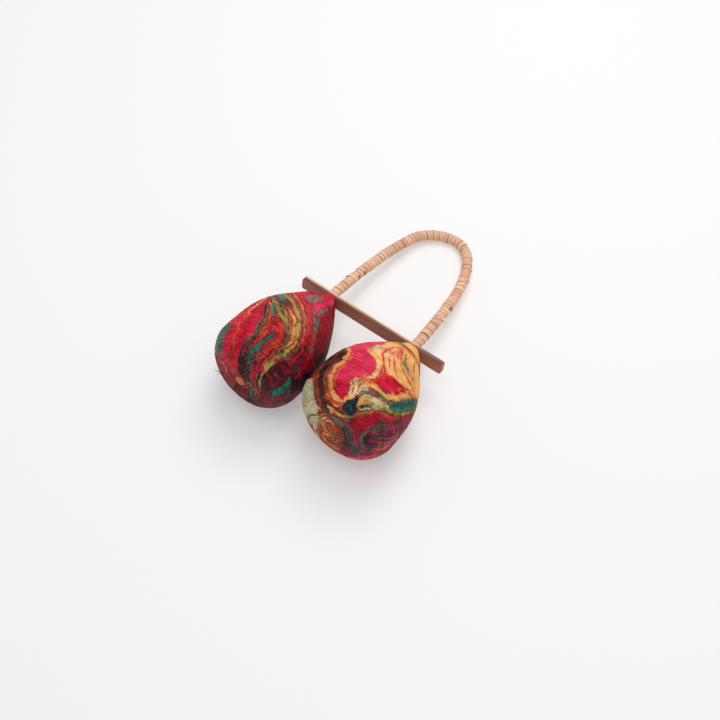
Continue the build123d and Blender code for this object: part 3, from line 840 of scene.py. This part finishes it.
def coil_uvs(m, strips):
    """Face corners in the bake's map: the outside in stacked rows, the lining and ends in one more."""
    outer_rows = len(m)
    lining = LINING_ROWS + 1
    rows = outer_rows + lining
    t = np.vstack([(m - m.min()) / (m.max() - m.min()), np.zeros((lining, COLUMNS + 1))])
    i, j = np.meshgrid(np.arange(rows - 1), np.arange(COLUMNS), indexing="ij")
    width = COLUMNS // strips
    strip = j // width
    outside = i < outer_rows - 1
    uvs = np.zeros((rows - 1, COLUMNS, 4, 2))
    for corner, (down, along) in enumerate(((0, 0), (1, 0), (1, 1), (0, 1))):
        u = np.where(outside, (j + along - strip * width) / width, (j + along) / COLUMNS)
        row = strip + BAKE_ROW_MARGIN + (1 - 2 * BAKE_ROW_MARGIN) * t[i + down, j + along]
        last_row = strips + BAKE_ROW_MARGIN + 0.5 * (i + down) / rows
        uvs[..., corner, 0] = BAKE_MARGIN + (1 - 2 * BAKE_MARGIN) * u
        uvs[..., corner, 1] = np.where(outside, row, last_row) / (strips + BAKE_LINING)
    return uvs.reshape(-1, 4, 2)


def paint_coil(key, a, m, r, total, smooth, wound):
    """The colour of each point of a strip's outside."""
    rattle = RATTLES[key]
    seed = rattle["seed"]
    marbling = Marbling(a, m / total, r, total, smooth, wound, rattle["ragged"], seed)
    marbling.bands(BANDS[key], smooth, seed + 20)
    for fill in FILLS[key]:
        marbling.fill(*fill)
    for ring in RINGS[key]:
        marbling.ring(*ring)
    for vein in VEINS[key]:
        marbling.vein(*vein)
    marbling.flecks(wound, rattle["flecks"], seed + 30)
    return marbling.colour


def closed_up(outside, lining):
    """Values of the outside's points, then of the lining's, then of the first ring, which closes the wall."""
    return np.concatenate([outside, lining, outside[: COLUMNS + 1]])


def coil_piece(key, part, outer, inner, outer_limits, inner_limits, material):
    """One of the strips of a shell: its ribbed outside, its inner wall and its two end faces."""
    rattle = RATTLES[key]
    pitch = outer.total / rattle["turns"]
    grid_m = coil_grid(outer_limits, pitch)
    one_turn = np.linspace(-180, 180, COLUMNS + 1)
    a, m = np.tile(one_turn, len(grid_m)), grid_m.ravel()
    s, r = outer.at(m)
    smooth = np.column_stack([r * np.sin(np.radians(a)), -s, r * np.cos(np.radians(a))])
    # groove: the share of painted shade at each point, most in the middle of a groove; the lining gets none
    height, groove, wound = coil_relief(a, m, pitch, smooth, rattle["groove"], rattle["seed"])
    height *= smoothstep(0, SMOOTH_START, m)
    ds, dr = outer.slope(m)
    outside = revolve(rattle, a, s - height * dr, r + height * ds)

    # The lining runs from the end back to the start.
    lining_m = np.linspace(*inner_limits[::-1], LINING_ROWS)
    lining_s, lining_r = inner.at(np.repeat(lining_m, COLUMNS + 1))
    lining = revolve(rattle, np.tile(one_turn, LINING_ROWS), lining_s, lining_r)
    faces = grid_faces(len(grid_m) + LINING_ROWS + 1, COLUMNS + 1)
    name = f"{key}_{part}_shell"
    points = to_world(closed_up(outside, lining))
    mesh, kept = mesh_from(name, points, faces, coil_uvs(grid_m, BAKE_STRIPS[part]))

    colour = paint_coil(key, a, m, r, outer.total, smooth, wound)
    fibre = np.column_stack([smooth[:, 0], smooth[:, 2], m * FIBRE_STRETCH])
    plain = np.zeros((len(lining), 3))
    set_looks(mesh, kept, closed_up(colour, plain + linear(BARE_STRIP)),
              closed_up(groove, plain[:, 0]), closed_up(fibre, plain))
    mesh.set_sharp_from_angle(angle=SHARP_RIB)
    add_piece(name, mesh, "instrument", material, [f"{key}_{part}_coil"])


def meridians(rattle):
    """The outlines of a shell's outer and inner walls."""
    length, radius, neck = rattle["length"], rattle["radius"], rattle["neck"]
    return Meridian(length, radius, neck), Meridian(length - WALL, radius - WALL, neck - WALL)


def build_shell(key, material):
    """The three strips of a rattle's shell, from the slat to the hole at the crown."""
    rattle = RATTLES[key]
    outer, inner = meridians(rattle)
    cuts = [share * rattle["length"] for share in CUTS]
    outer_m = [0, *(outer.m_at(s) for s in cuts), outer.m_at_hole(HOLE_RADIUS)]
    inner_m = [0, *(inner.m_at(s) for s in cuts), inner.m_at_hole(HOLE_RADIUS)]
    for n, part in enumerate(("neck", "belly", "crown")):
        coil_piece(key, part, outer, inner, outer_m[n : n + 2], inner_m[n : n + 2], material)


# ---------------------------------------------------------------- handle
class Loop:
    """The handle's centre line: straights joined by tangent arcs, against distance along it in mm."""

    def __init__(self):
        foot = NECK_SPACING / 2
        corners = np.array([(-foot, 0), *LEFT_OF_LOOP, *RIGHT_OF_LOOP, (foot, 0)], float)
        line = [corners[:1]]
        for before, corner, after in zip(corners, corners[1:], corners[2:]):
            line.append(self.arc(before, corner, after))
        line.append(corners[-1:])
        raw = np.vstack(line)
        s = np.concatenate([[0], np.cumsum(np.hypot(*np.diff(raw, axis=0).T))])
        self.s = np.arange(0, s[-1], 0.25)
        self.points = np.column_stack([np.interp(self.s, s, raw[:, k]) for k in (0, 1)])
        tangents = np.gradient(self.points, axis=0)
        self.tangents = tangents / np.linalg.norm(tangents, axis=1, keepdims=True)

    @staticmethod
    def arc(before, corner, after):
        """Points of the arc that rounds a corner and touches the straights on both sides."""
        run_in, run_out = corner - before, after - corner
        lengths = np.hypot(*run_in), np.hypot(*run_out)
        reach = ARC_SHARE * min(lengths)
        start, end = corner - run_in / lengths[0] * reach, corner + run_out / lengths[1] * reach
        weight = math.sqrt((1 + run_in @ run_out / (lengths[0] * lengths[1])) / 2)
        t = np.linspace(0, 1, 24)[:, None]
        top = (1 - t) ** 2 * start + 2 * weight * t * (1 - t) * corner + t**2 * end
        return top / ((1 - t) ** 2 + 2 * weight * t * (1 - t) + t**2)

    def s_where(self, axis, value, side):
        """Distance along the line where u (axis 0) or v (axis 1) passes a value, on one side of the loop."""
        crossing = np.nonzero(np.diff(np.sign(self.points[:, axis] - value)))[0]
        crossing = [k for k in crossing if (self.points[k, 0] > 0) == (side > 0) or axis == 0]
        return float(self.s[crossing[0]])

    def place(self, s, angle, radius):
        """A point at this angle (0 faces out of the loop, 90 degrees up) and radius round the line."""
        centre = np.column_stack([np.interp(s, self.s, self.points[:, k]) for k in (0, 1)])
        tangent = np.column_stack([np.interp(s, self.s, self.tangents[:, k]) for k in (0, 1)])
        out = np.column_stack([-tangent[:, 1], tangent[:, 0], np.zeros(len(s))])
        points = np.column_stack([centre, np.zeros(len(s))]) + out * (np.cos(angle) * radius)[:, None]
        points[:, 2] += np.sin(angle) * radius
        return points


def strip_walk(limits, widths, start_angle):
    """A wound strip's middle: its places along the handle, angles round it and widths.

    The first and the last turn stay in place, so that the strip's square ends close on themselves.
    """
    s_start, s_end = limits
    s, last = s_start + widths[0] / 2, s_end - widths[1] / 2
    walk = []
    turned = 0.0
    rest = None
    while rest is None or rest > 0:
        width = widths[0] + (widths[1] - widths[0]) * (s - s_start) / (s_end - s_start)
        if s >= last:
            rest = SECTIONS_PER_TURN if rest is None else rest - 1
        elif turned >= 1:
            s = min(s + width / SECTIONS_PER_TURN, last)
        walk.append((s, start_angle + 2 * math.pi * turned, width))
        turned += 1 / SECTIONS_PER_TURN
    return np.array(walk).T


def cane_colour(turns, seed):
    """The cane's colour along a strip: tan to pink, a little uneven, with pale and brown stretches."""
    colour = blend(linear(CANE["tan"]), linear(CANE["pink"]),
                   smoothstep(-0.6, 1.4, strip_noise(turns, 0.35, seed + 6)))
    colour = colour * (1 + 0.07 * strip_noise(turns, 1.1, seed + 5)[:, None])
    paler = smoothstep(0.9, 1.8, strip_noise(turns, 0.9, seed + 7))
    colour = blend(colour, linear(CANE["pale"]), 0.6 * paler)
    browner = smoothstep(1.2, 2.2, strip_noise(turns, 1.7, seed + 8))
    return blend(colour, linear(CANE["brown"]), 0.45 * browner)


def shaded_edge(across):
    """How much painted shade darkens a strip at this share of its width from its middle, for the gaps between
    its turns: only its edges get it.
    """
    return abs(2 * across) ** 4


def wound_strip(loop, limits, widths, seed):
    """A strip wound from end to end of its stretch: rings of points, colours, painted shade at the edges,
    fibre places.
    """
    start_angle = np.random.default_rng(seed).uniform(0, 2 * math.pi)
    s, angle, width = strip_walk(limits, widths, start_angle)
    turns = angle / (2 * math.pi)
    clear = np.minimum(1, np.minimum(turns - turns[0], turns[-1] - turns))  # 0 at an end, 1 a turn from it
    width = width * (1.0 + 0.03 * strip_noise(turns, 2, seed))
    lift = -STRIP_SINK * (1 - clear)
    for n, (size, cells) in enumerate(STRIP_RELIEF):
        lift = lift + size * strip_noise(turns, cells, seed + 1 + n)
    tilt = 0.06 + 0.08 * strip_noise(turns, 0.8, seed + 3)
    wander = STRIP_WANDER * clear * strip_noise(turns, 2.3, seed + 4)
    rings, fibre, edge = [], [], []
    for across, height in STRIP_PROFILE:
        radius = CORE_RADIUS + 0.05 + lift + height * (STRIP_THICKNESS + tilt * across)
        rings.append(loop.place(np.clip(s + wander + across * width, *limits), angle, radius))
        along = turns * CANE_GRAIN / FIBRE_STRETCH
        fibre.append(np.column_stack([along, across * width, np.full(len(s), seed)]))
        # painted shade at the strip's edges, in the gaps between turns
        edge.append(np.full(len(s), shaded_edge(across)))
    colour = np.repeat(cane_colour(turns, seed), len(STRIP_PROFILE), axis=0)
    return (np.stack(rings, axis=1), colour, np.stack(edge, axis=1).ravel(),
            np.stack(fibre, axis=1).reshape(-1, 3))


def strip_tail(loop, v, side, angles, width, lift, dye, slant):
    """The loose end of a strip: it lies on the winding, and lifts off as it narrows to a point."""
    s = loop.s_where(1, v, side)
    t = np.linspace(0, 1, 14)
    angle = np.radians(angles[0] + (angles[1] - angles[0]) * t)
    half = width / 2 * np.sqrt(np.clip(1 - t**3, 0.02, 1))
    base = CORE_RADIUS + STRIP_THICKNESS * 0.75 + lift * t**2
    rings = []
    for across, height in STRIP_PROFILE:
        radius = base + 0.5 * height * STRIP_THICKNESS
        rings.append(loop.place(s + slant * t + 2 * across * half, angle, radius))
    section = np.tile([across for across, _ in STRIP_PROFILE], len(t))
    colour = np.tile(linear(CANE[dye]), (len(section), 1))
    along = np.repeat(t, len(STRIP_PROFILE))
    fibre = np.column_stack([along, section * width, np.full(len(section), s)])
    return np.stack(rings, axis=1), colour, shaded_edge(section), fibre


def wrap_limits(loop):
    """Where each strip of the wrap starts and ends along the handle."""
    slat_face = BAR_THICKNESS / 2
    ends = [
        loop.s_where(1, slat_face, -1),
        loop.s_where(1, SPLICES["left"], -1),
        loop.s_where(0, SPLICES["top"], 1),
        loop.s_where(1, SPLICES["shoulder"], 1),
        loop.s_where(1, SPLICES["right"], 1),
        loop.s_where(1, slat_face, 1),
    ]
    return zip(ends, ends[1:])


def build_wraps(material):
    """The five strips of cane wound round the handle, with their loose ends."""
    loop = Loop()
    for n, (node, limits) in enumerate(zip(WRAP_WIDTHS, wrap_limits(loop))):
        parts = [wound_strip(loop, limits, WRAP_WIDTHS[node], WRAP_SEED + 10 * n)]
        parts += [strip_tail(loop, *tail) for tail in TAILS.get(node, [])]
        rings, colours, edges, fibres = zip(*parts)
        points, faces = join_ribbons(rings)
        name = f"{node}_strip"
        mesh, kept = mesh_from(name, to_world(points), faces)
        # edges carry the painted shade at the strips' edges
        set_looks(mesh, kept, np.vstack(colours), np.concatenate(edges), np.vstack(fibres))
        mesh.set_sharp_from_angle(angle=SHARP_STRIP)
        add_piece(name, mesh, "instrument", material, [node])


# ---------------------------------------------------------------- small pieces
def build_crown_plug(key, material):
    """The domed end of the plug, with the coil of the strip that starts there."""
    rattle = RATTLES[key]
    side = [PLUG_RADIUS, PLUG_RADIUS * 0.96, 0]
    r = np.concatenate([np.linspace(0, PLUG_RADIUS, PLUG_RINGS), side])
    grid_r, grid_a = np.meshgrid(r, np.linspace(-180, 180, PLUG_SPOKES + 1), indexing="ij")
    turns = grid_r / PLUG_PITCH - (grid_a + 180) / 360
    groove = np.abs(2 * (turns % 1) - 1) ** 3
    dome = PLUG_PROUD * np.sqrt(np.clip(1 - (grid_r / PLUG_RADIUS) ** 4, 0, 1))
    s = rattle["length"] + dome - PLUG_GROOVE * groove * (grid_r < PLUG_RADIUS)
    foot = PLUG_PROUD - PLUG_DEPTH
    s[PLUG_RINGS:] = rattle["length"] + np.array([-0.6, foot, foot])[:, None]
    r, a, s = grid_r.ravel(), grid_a.ravel(), s.ravel()
    name = f"{key}_crown_plug_cap"
    faces = grid_faces(len(grid_r), PLUG_SPOKES + 1)[:, ::-1]
    mesh, kept = mesh_from(name, to_world(revolve(rattle, a, s, r)), faces)
    turn = np.radians(a)
    swirl = 0.5 + 0.5 * np.sin(r * 2.3 + 1.6 * np.sin(turn + 0.7 * r))
    colour = linear(PLUG_TINTS[key]) * (0.7 + 0.5 * swirl[:, None])
    fibre = np.column_stack([r * np.cos(turn), r * np.sin(turn), s])
    # the groove value gives painted shade in the plug's spiral groove
    set_looks(mesh, kept, colour, groove.ravel(), fibre)
    add_piece(name, mesh, "instrument", material, [f"{key}_crown_plug"])


def lumpy_seed(centre, rng):
    """A hard seed: a little flattened, with shallow dents, no two quite alike."""
    latitude = np.linspace(0, math.pi, SEED_RINGS)
    longitude = np.linspace(0, 2 * math.pi, SEED_SPOKES + 1)
    theta, phi = (grid.ravel() for grid in np.meshgrid(latitude, longitude, indexing="ij"))
    out = np.column_stack([np.sin(theta) * np.cos(phi), np.sin(theta) * np.sin(phi), np.cos(theta)])
    out[np.isclose(np.abs(out[:, 2]), 1), :2] = 0
    flat = rng.normal(size=3)
    flat /= np.linalg.norm(flat)
    dents = 0.035 * (1 + waves(out * SEED_RADIUS, 2.2, int(rng.integers(1e6)), count=6))
    share = 1 - SEED_FLATNESS * (out @ flat) ** 2 - np.clip(dents, 0, 0.12)
    share = share.reshape(-1, SEED_SPOKES + 1)
    share[:, -1] = share[:, 0]
    return centre + out * SEED_RADIUS * share.reshape(-1, 1)


def build_seeds(key, material):
    """The loose seeds on the floor of a rattle, in one layer without its corners."""
    rattle = RATTLES[key]
    _, inner = meridians(rattle)
    rng = np.random.default_rng(rattle["seed"])
    layer = np.arange(SEED_ROW) - (SEED_ROW - 1) / 2
    points, faces = [], []
    for row in layer:
        s = SEED_MIDDLE * rattle["length"] + row * SEED_SPACING
        _, wall = inner.at(inner.m_at(s))
        reach = wall - SEED_RADIUS - SEED_GAP
        for column in layer:
            if abs(row) == abs(column) == layer[-1]:
                continue
            a = 180 - np.degrees(column * SEED_SPACING / reach)
            centre = revolve(rattle, [a], [s], [reach])[0]
            points.append(lumpy_seed(centre, rng))
            offset = len(faces) * SEED_RINGS * (SEED_SPOKES + 1)
            faces.append(grid_faces(SEED_RINGS, SEED_SPOKES + 1) + offset)
    name = f"{key}_seed_layer_seeds"
    mesh, _ = mesh_from(name, to_world(np.vstack(points)), np.vstack(faces))
    add_piece(name, mesh, f"{key}_seed_layer", material, [f"{key}_seeds"])


def stray_tine(rattle, s, r, turn_end, s_end, rise, thick):
    """Rings of points of one tine, which rises and thins from its root to its tip."""
    round_it = 2 * math.pi * np.arange(STRAY_CORNERS) / STRAY_CORNERS
    ones = np.ones(STRAY_CORNERS)
    rings = []
    for t in np.linspace(0, 1, STRAY_STEPS):
        radius = r - 0.4 + rise * t**1.4
        half = thick * (1 - 0.8 * t)
        a = STRAY_ROOT[0] + turn_end * t + np.degrees(half * np.cos(round_it) / radius)
        rings.append(revolve(rattle, a, s + s_end * t + half * np.sin(round_it), radius * ones))
    return np.stack(rings)


def build_stray_fibre(material):
    """A forked end of a dark fibre that stands off the left shell, low on its outer side."""
    rattle = RATTLES["left"]
    outer, _ = meridians(rattle)
    s, r = outer.at(STRAY_ROOT[1] * outer.total)
    points, faces = join_ribbons([stray_tine(rattle, s, r, *tine) for tine in STRAY_TINES])
    mesh, kept = mesh_from("left_stray_fibre", to_world(points), faces)
    colour = np.tile(linear(STRAY_COLOUR), (len(points), 1))
    set_looks(mesh, kept, colour, np.zeros(len(points)), points)
    add_piece("left_stray_fibre", mesh, "instrument", material)


# ---------------------------------------------------------------- materials
class Shading:
    """A new material, with short ways to add nodes to it. Inputs are sockets or plain values."""

    def __init__(self, name):
        self.material = bpy.data.materials.new(name)
        self.material.use_nodes = True
        self.nodes, self.links = self.material.node_tree.nodes, self.material.node_tree.links
        self.shader = self.nodes["Principled BSDF"]

    def put(self, value, socket):
        """Links a socket to an input, or sets the input to a plain value."""
        if isinstance(value, bpy.types.NodeSocket):
            self.links.new(value, socket)
        else:
            socket.default_value = value

    def surface(self, **inputs):
        """Sets inputs of the shader; an underscore stands for a space."""
        for name, value in inputs.items():
            self.put(value, self.shader.inputs[name.replace("_", " ")])

    def node(self, kind, inputs, **settings):
        """A new node with its inputs, by name or number, and its settings."""
        node = self.nodes.new("ShaderNode" + kind)
        for name, value in settings.items():
            setattr(node, name, value)
        for name, value in inputs.items():
            self.put(value, node.inputs[name])
        return node

    def noise(self, coordinate, scale, detail=3.0, roughness=0.55):
        """Fractal noise of 0 to 1."""
        inputs = {"Vector": coordinate, "Scale": scale, "Detail": detail, "Roughness": roughness}
        return self.node("TexNoise", inputs).outputs["Fac"]

    def mapped(self, value, low, high, to_low, to_high):
        """A value of low to high brought to to_low to to_high, and held there outside."""
        names = ("Value", "From Min", "From Max", "To Min", "To Max")
        inputs = dict(zip(names, (value, low, high, to_low, to_high)))
        return self.node("MapRange", inputs).outputs["Result"]

    def stored(self, name, kind):
        """A value that the mesh's points carry."""
        return self.node("Attribute", {}, attribute_name=name).outputs[kind]

    def mix(self, factor, first, second, blend="MIX"):
        """A mix of two colours."""
        inputs = {0: factor, 6: first, 7: second}
        return self.node("Mix", inputs, data_type="RGBA", blend_type=blend).outputs[2]

    def calculate(self, operation, *values):
        """The result of a Math node."""
        return self.node("Math", dict(enumerate(values)), operation=operation).outputs["Value"]

    def bump(self, height, strength, distance=0.0002):
        """Fine relief, this many metres high at a strength of 1."""
        inputs = {"Height": height, "Strength": strength, "Distance": distance}
        self.surface(Normal=self.node("Bump", inputs).outputs["Normal"])

    def past_plane(self, coordinates, direction, through):
        """Distance in metres past the plane with this normal through this place."""
        dot = self.node("VectorMath", {0: coordinates, 1: direction}, operation="DOT_PRODUCT")
        return self.calculate("SUBTRACT", dot.outputs["Value"], float(np.dot(direction, through)))


def opaque(colour):
    """A shader's colour from an sRGB colour of 0 to 255."""
    return (*linear(colour), 1)


def strip_material(name, roughness, groove_shade_strength, groove_shade_tint, fibre_scale, pale_fibres_and_glints):
    """Dyed strip: the painted colour, with fibres along it, pale fibres that are partly a painted highlight,
    and painted shade in the grooves between its turns.
    """
    shading = Shading(name)
    dye, fibre = shading.stored("dye", "Color"), shading.stored("fibre", "Vector")
    streaks = shading.noise(fibre, fibre_scale)
    broad = shading.noise(fibre, fibre_scale / 5, detail=2.0)
    tone = shading.mapped(streaks, 0.3, 0.7, 0.82, 1.14)
    # pale fibres: partly paler fibres, partly a painted highlight of their sheen
    pale = shading.mapped(streaks, 0.64, 0.8, 0.0, pale_fibres_and_glints)
    colour = shading.mix(pale, shading.mix(1.0, dye, tone, "MULTIPLY"), (0.9, 0.82, 0.74, 1.0))
    # painted shade: the colour turns towards the groove's shade tint as the stored groove value rises
    groove_shade = shading.mapped(shading.stored("groove", "Fac"), 0.25, 1.0, 0.0, groove_shade_strength)
    shadow = shading.mix(1.0, colour, groove_shade_tint, "MULTIPLY")
    dull = shading.mapped(broad, 0.3, 0.7, roughness - 0.08, roughness + 0.12)
    shading.surface(Base_Color=shading.mix(groove_shade, colour, shadow), Roughness=dull, Specular_IOR_Level=0.12)
    shading.bump(streaks, 0.35)
    return shading.material


def top_light_and_shade(shading, coordinates, grain, colour):
    """Lays painted light and shade over the slat's top edge: painted shade at its front, and a pale painted
    highlight along the handle's side of it.
    """
    middle, (_, across, up) = axes()
    u, v, w = (shading.past_plane(coordinates, direction, middle * MM)
               for direction in ((1.0, 0.0, 0.0), across, up))
    ragged_v = shading.calculate("MULTIPLY_ADD", grain, 0.0016, v)
    handle_side = shading.mapped(ragged_v, 0.0006, 0.0016, 0.0, 1.0)
    # the pale painted highlight gives way to the painted shade over the slat's right end
    right_end_fade = shading.mapped(u, 0.038, 0.05, 1.0, 0.25)
    on_top = shading.mapped(w, 0.0046, 0.0051, 0.0, 1.0)
    # painted shade: the front of the top edge is darkened
    dull = shading.mix(1.0, colour, (0.42, 0.36, 0.34, 1.0), "MULTIPLY")
    # painted highlight: the top edge is pale tan along the handle's side
    pale_lit_top = shading.mix(grain, opaque((196, 150, 116)), opaque((240, 206, 172)))
    top = shading.mix(shading.calculate("MULTIPLY", handle_side, right_end_fade), dull, pale_lit_top)
    return shading.mix(on_top, colour, top)


def wood_material(name, dark, light, scale, paint_top_light=False):
    """Plain wood: long grain along X, and on request the painted highlight and painted shade on the slat's
    top edge.
    """
    shading = Shading(name)
    coordinates = shading.nodes.new("ShaderNodeTexCoord").outputs["Object"]
    stretch = shading.node("Mapping", {"Vector": coordinates, "Scale": (0.04, 1.0, 1.0)}).outputs["Vector"]
    grain = shading.noise(stretch, scale, detail=4.0, roughness=0.65)
    figure = shading.noise(stretch, 260, detail=2.0)
    colour = shading.mix(shading.mapped(grain, 0.35, 0.65, 0, 1), opaque(dark), opaque(light))
    colour = shading.mix(1.0, colour, shading.mapped(figure, 0.3, 0.7, 0.8, 1.15), "MULTIPLY")
    if paint_top_light:
        colour = top_light_and_shade(shading, coordinates, grain, colour)
    shading.surface(Base_Color=colour, Roughness=shading.mapped(grain, 0.3, 0.7, 0.45, 0.65))
    shading.bump(grain, 0.4)
    return shading.material


def seed_material():
    """Brown seed coat, blotched."""
    shading = Shading("seed_coat")
    coordinates = shading.nodes.new("ShaderNodeTexCoord").outputs["Object"]
    blotch = shading.noise(coordinates, 400)
    colour = shading.mix(blotch, opaque((64, 42, 30)), opaque((120, 84, 54)))
    shading.surface(Base_Color=colour, Roughness=0.4)
    return shading.material


# ---------------------------------------------------------------- stage, light and camera
def build_stage():
    """A pale sheet of paper on the floor."""
    mesh = bpy.data.meshes.new("floor")
    half = FLOOR_REACH
    corners = [(-half, -half, 0), (half, -half, 0), (half, half, 0), (-half, half, 0)]
    mesh.from_pydata(corners, [], [(0, 1, 2, 3)])
    floor = bpy.data.objects.new("floor", mesh)
    bpy.context.scene.collection.objects.link(floor)
    shading = Shading("pale_paper")
    shading.surface(Base_Color=(FLOOR_GREY, FLOOR_GREY, FLOOR_GREY, 1.0), Roughness=0.9,
                    Specular_IOR_Level=0.0, Emission_Color=(1, 1, 1, 1), Emission_Strength=FLOOR_GLOW)
    mesh.materials.append(shading.material)


def add_area_light(name, place, size, power):
    """A round lamp that faces the origin."""
    data = bpy.data.lights.new(name, "AREA")
    data.shape = "DISK"
    data.size = size
    data.energy = power
    light = bpy.data.objects.new(name, data)
    light.location = place
    light.rotation_euler = (-Vector(place)).to_track_quat("-Z", "Y").to_euler()
    bpy.context.scene.collection.objects.link(light)


def light_scene():
    """Soft white light from all round, and two lamps."""
    world = bpy.data.worlds.new("studio")
    bpy.context.scene.world = world
    world.use_nodes = True
    background = world.node_tree.nodes["Background"]
    background.inputs["Color"].default_value = (1, 1, 1, 1)
    background.inputs["Strength"].default_value = WORLD_STRENGTH
    for name, lamp in LIGHTS.items():
        add_area_light(name, *lamp)


def place_camera():
    """Looks down over the right rattle's crown."""
    level, climb = math.cos(CAMERA_ELEVATION), math.sin(CAMERA_ELEVATION)
    back = np.array([math.sin(CAMERA_AZIMUTH) * level, -math.cos(CAMERA_AZIMUTH) * level, climb])
    right = np.array([math.cos(CAMERA_AZIMUTH), math.sin(CAMERA_AZIMUTH), 0])
    up = np.cross(back, right)
    middle, _ = axes()
    place = (middle + CAMERA_DISTANCE * back + CAMERA_RIGHT * right + CAMERA_UP * up) * MM
    data = bpy.data.cameras.new("camera")
    data.lens, data.sensor_width = LENS, SENSOR
    camera = bpy.data.objects.new("camera", data)
    matrix = np.identity(4)
    matrix[:3] = np.column_stack([right, up, back, place])
    camera.matrix_world = Matrix(matrix.tolist())
    bpy.context.scene.collection.objects.link(camera)
    bpy.context.scene.camera = camera


# ---------------------------------------------------------------- build
place_camera()
build_stage()
light_scene()
bpy.context.scene.view_settings.view_transform = "Standard"

# The third and fourth values set the painted shade in the grooves, and the last sets the pale fibres with
# their painted highlight.
coil_material = strip_material("dyed_coil", 0.42, 0.9, (0.10, 0.07, 0.07, 1.0), 0.9, 0.15)
cane_material = strip_material("cane_strip", 0.5, 0.75, (0.36, 0.22, 0.16, 1.0), 1.6, 0.25)
seed_coat = seed_material()
for key in RATTLES:
    build_shell(key, coil_material)
    build_crown_plug(key, coil_material)
    build_seeds(key, seed_coat)
build_wraps(cane_material)
build_stray_fibre(coil_material)

slat_wood = wood_material("slat_wood", (136, 74, 50), (200, 136, 104), 900, paint_top_light=True)
plug_wood = wood_material("plug_wood", (176, 138, 98), (204, 168, 124), 1500)
core_cane = wood_material("core_cane", (96, 66, 44), (138, 98, 66), 1500)
carried_over = {
    "crossbar": slat_wood,
    "handle_core": core_cane,
    "left_neck_plug": plug_wood,
    "right_neck_plug": plug_wood,
}
for node, material in carried_over.items():
    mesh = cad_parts[node].data
    mesh.materials.clear()
    mesh.materials.append(material)
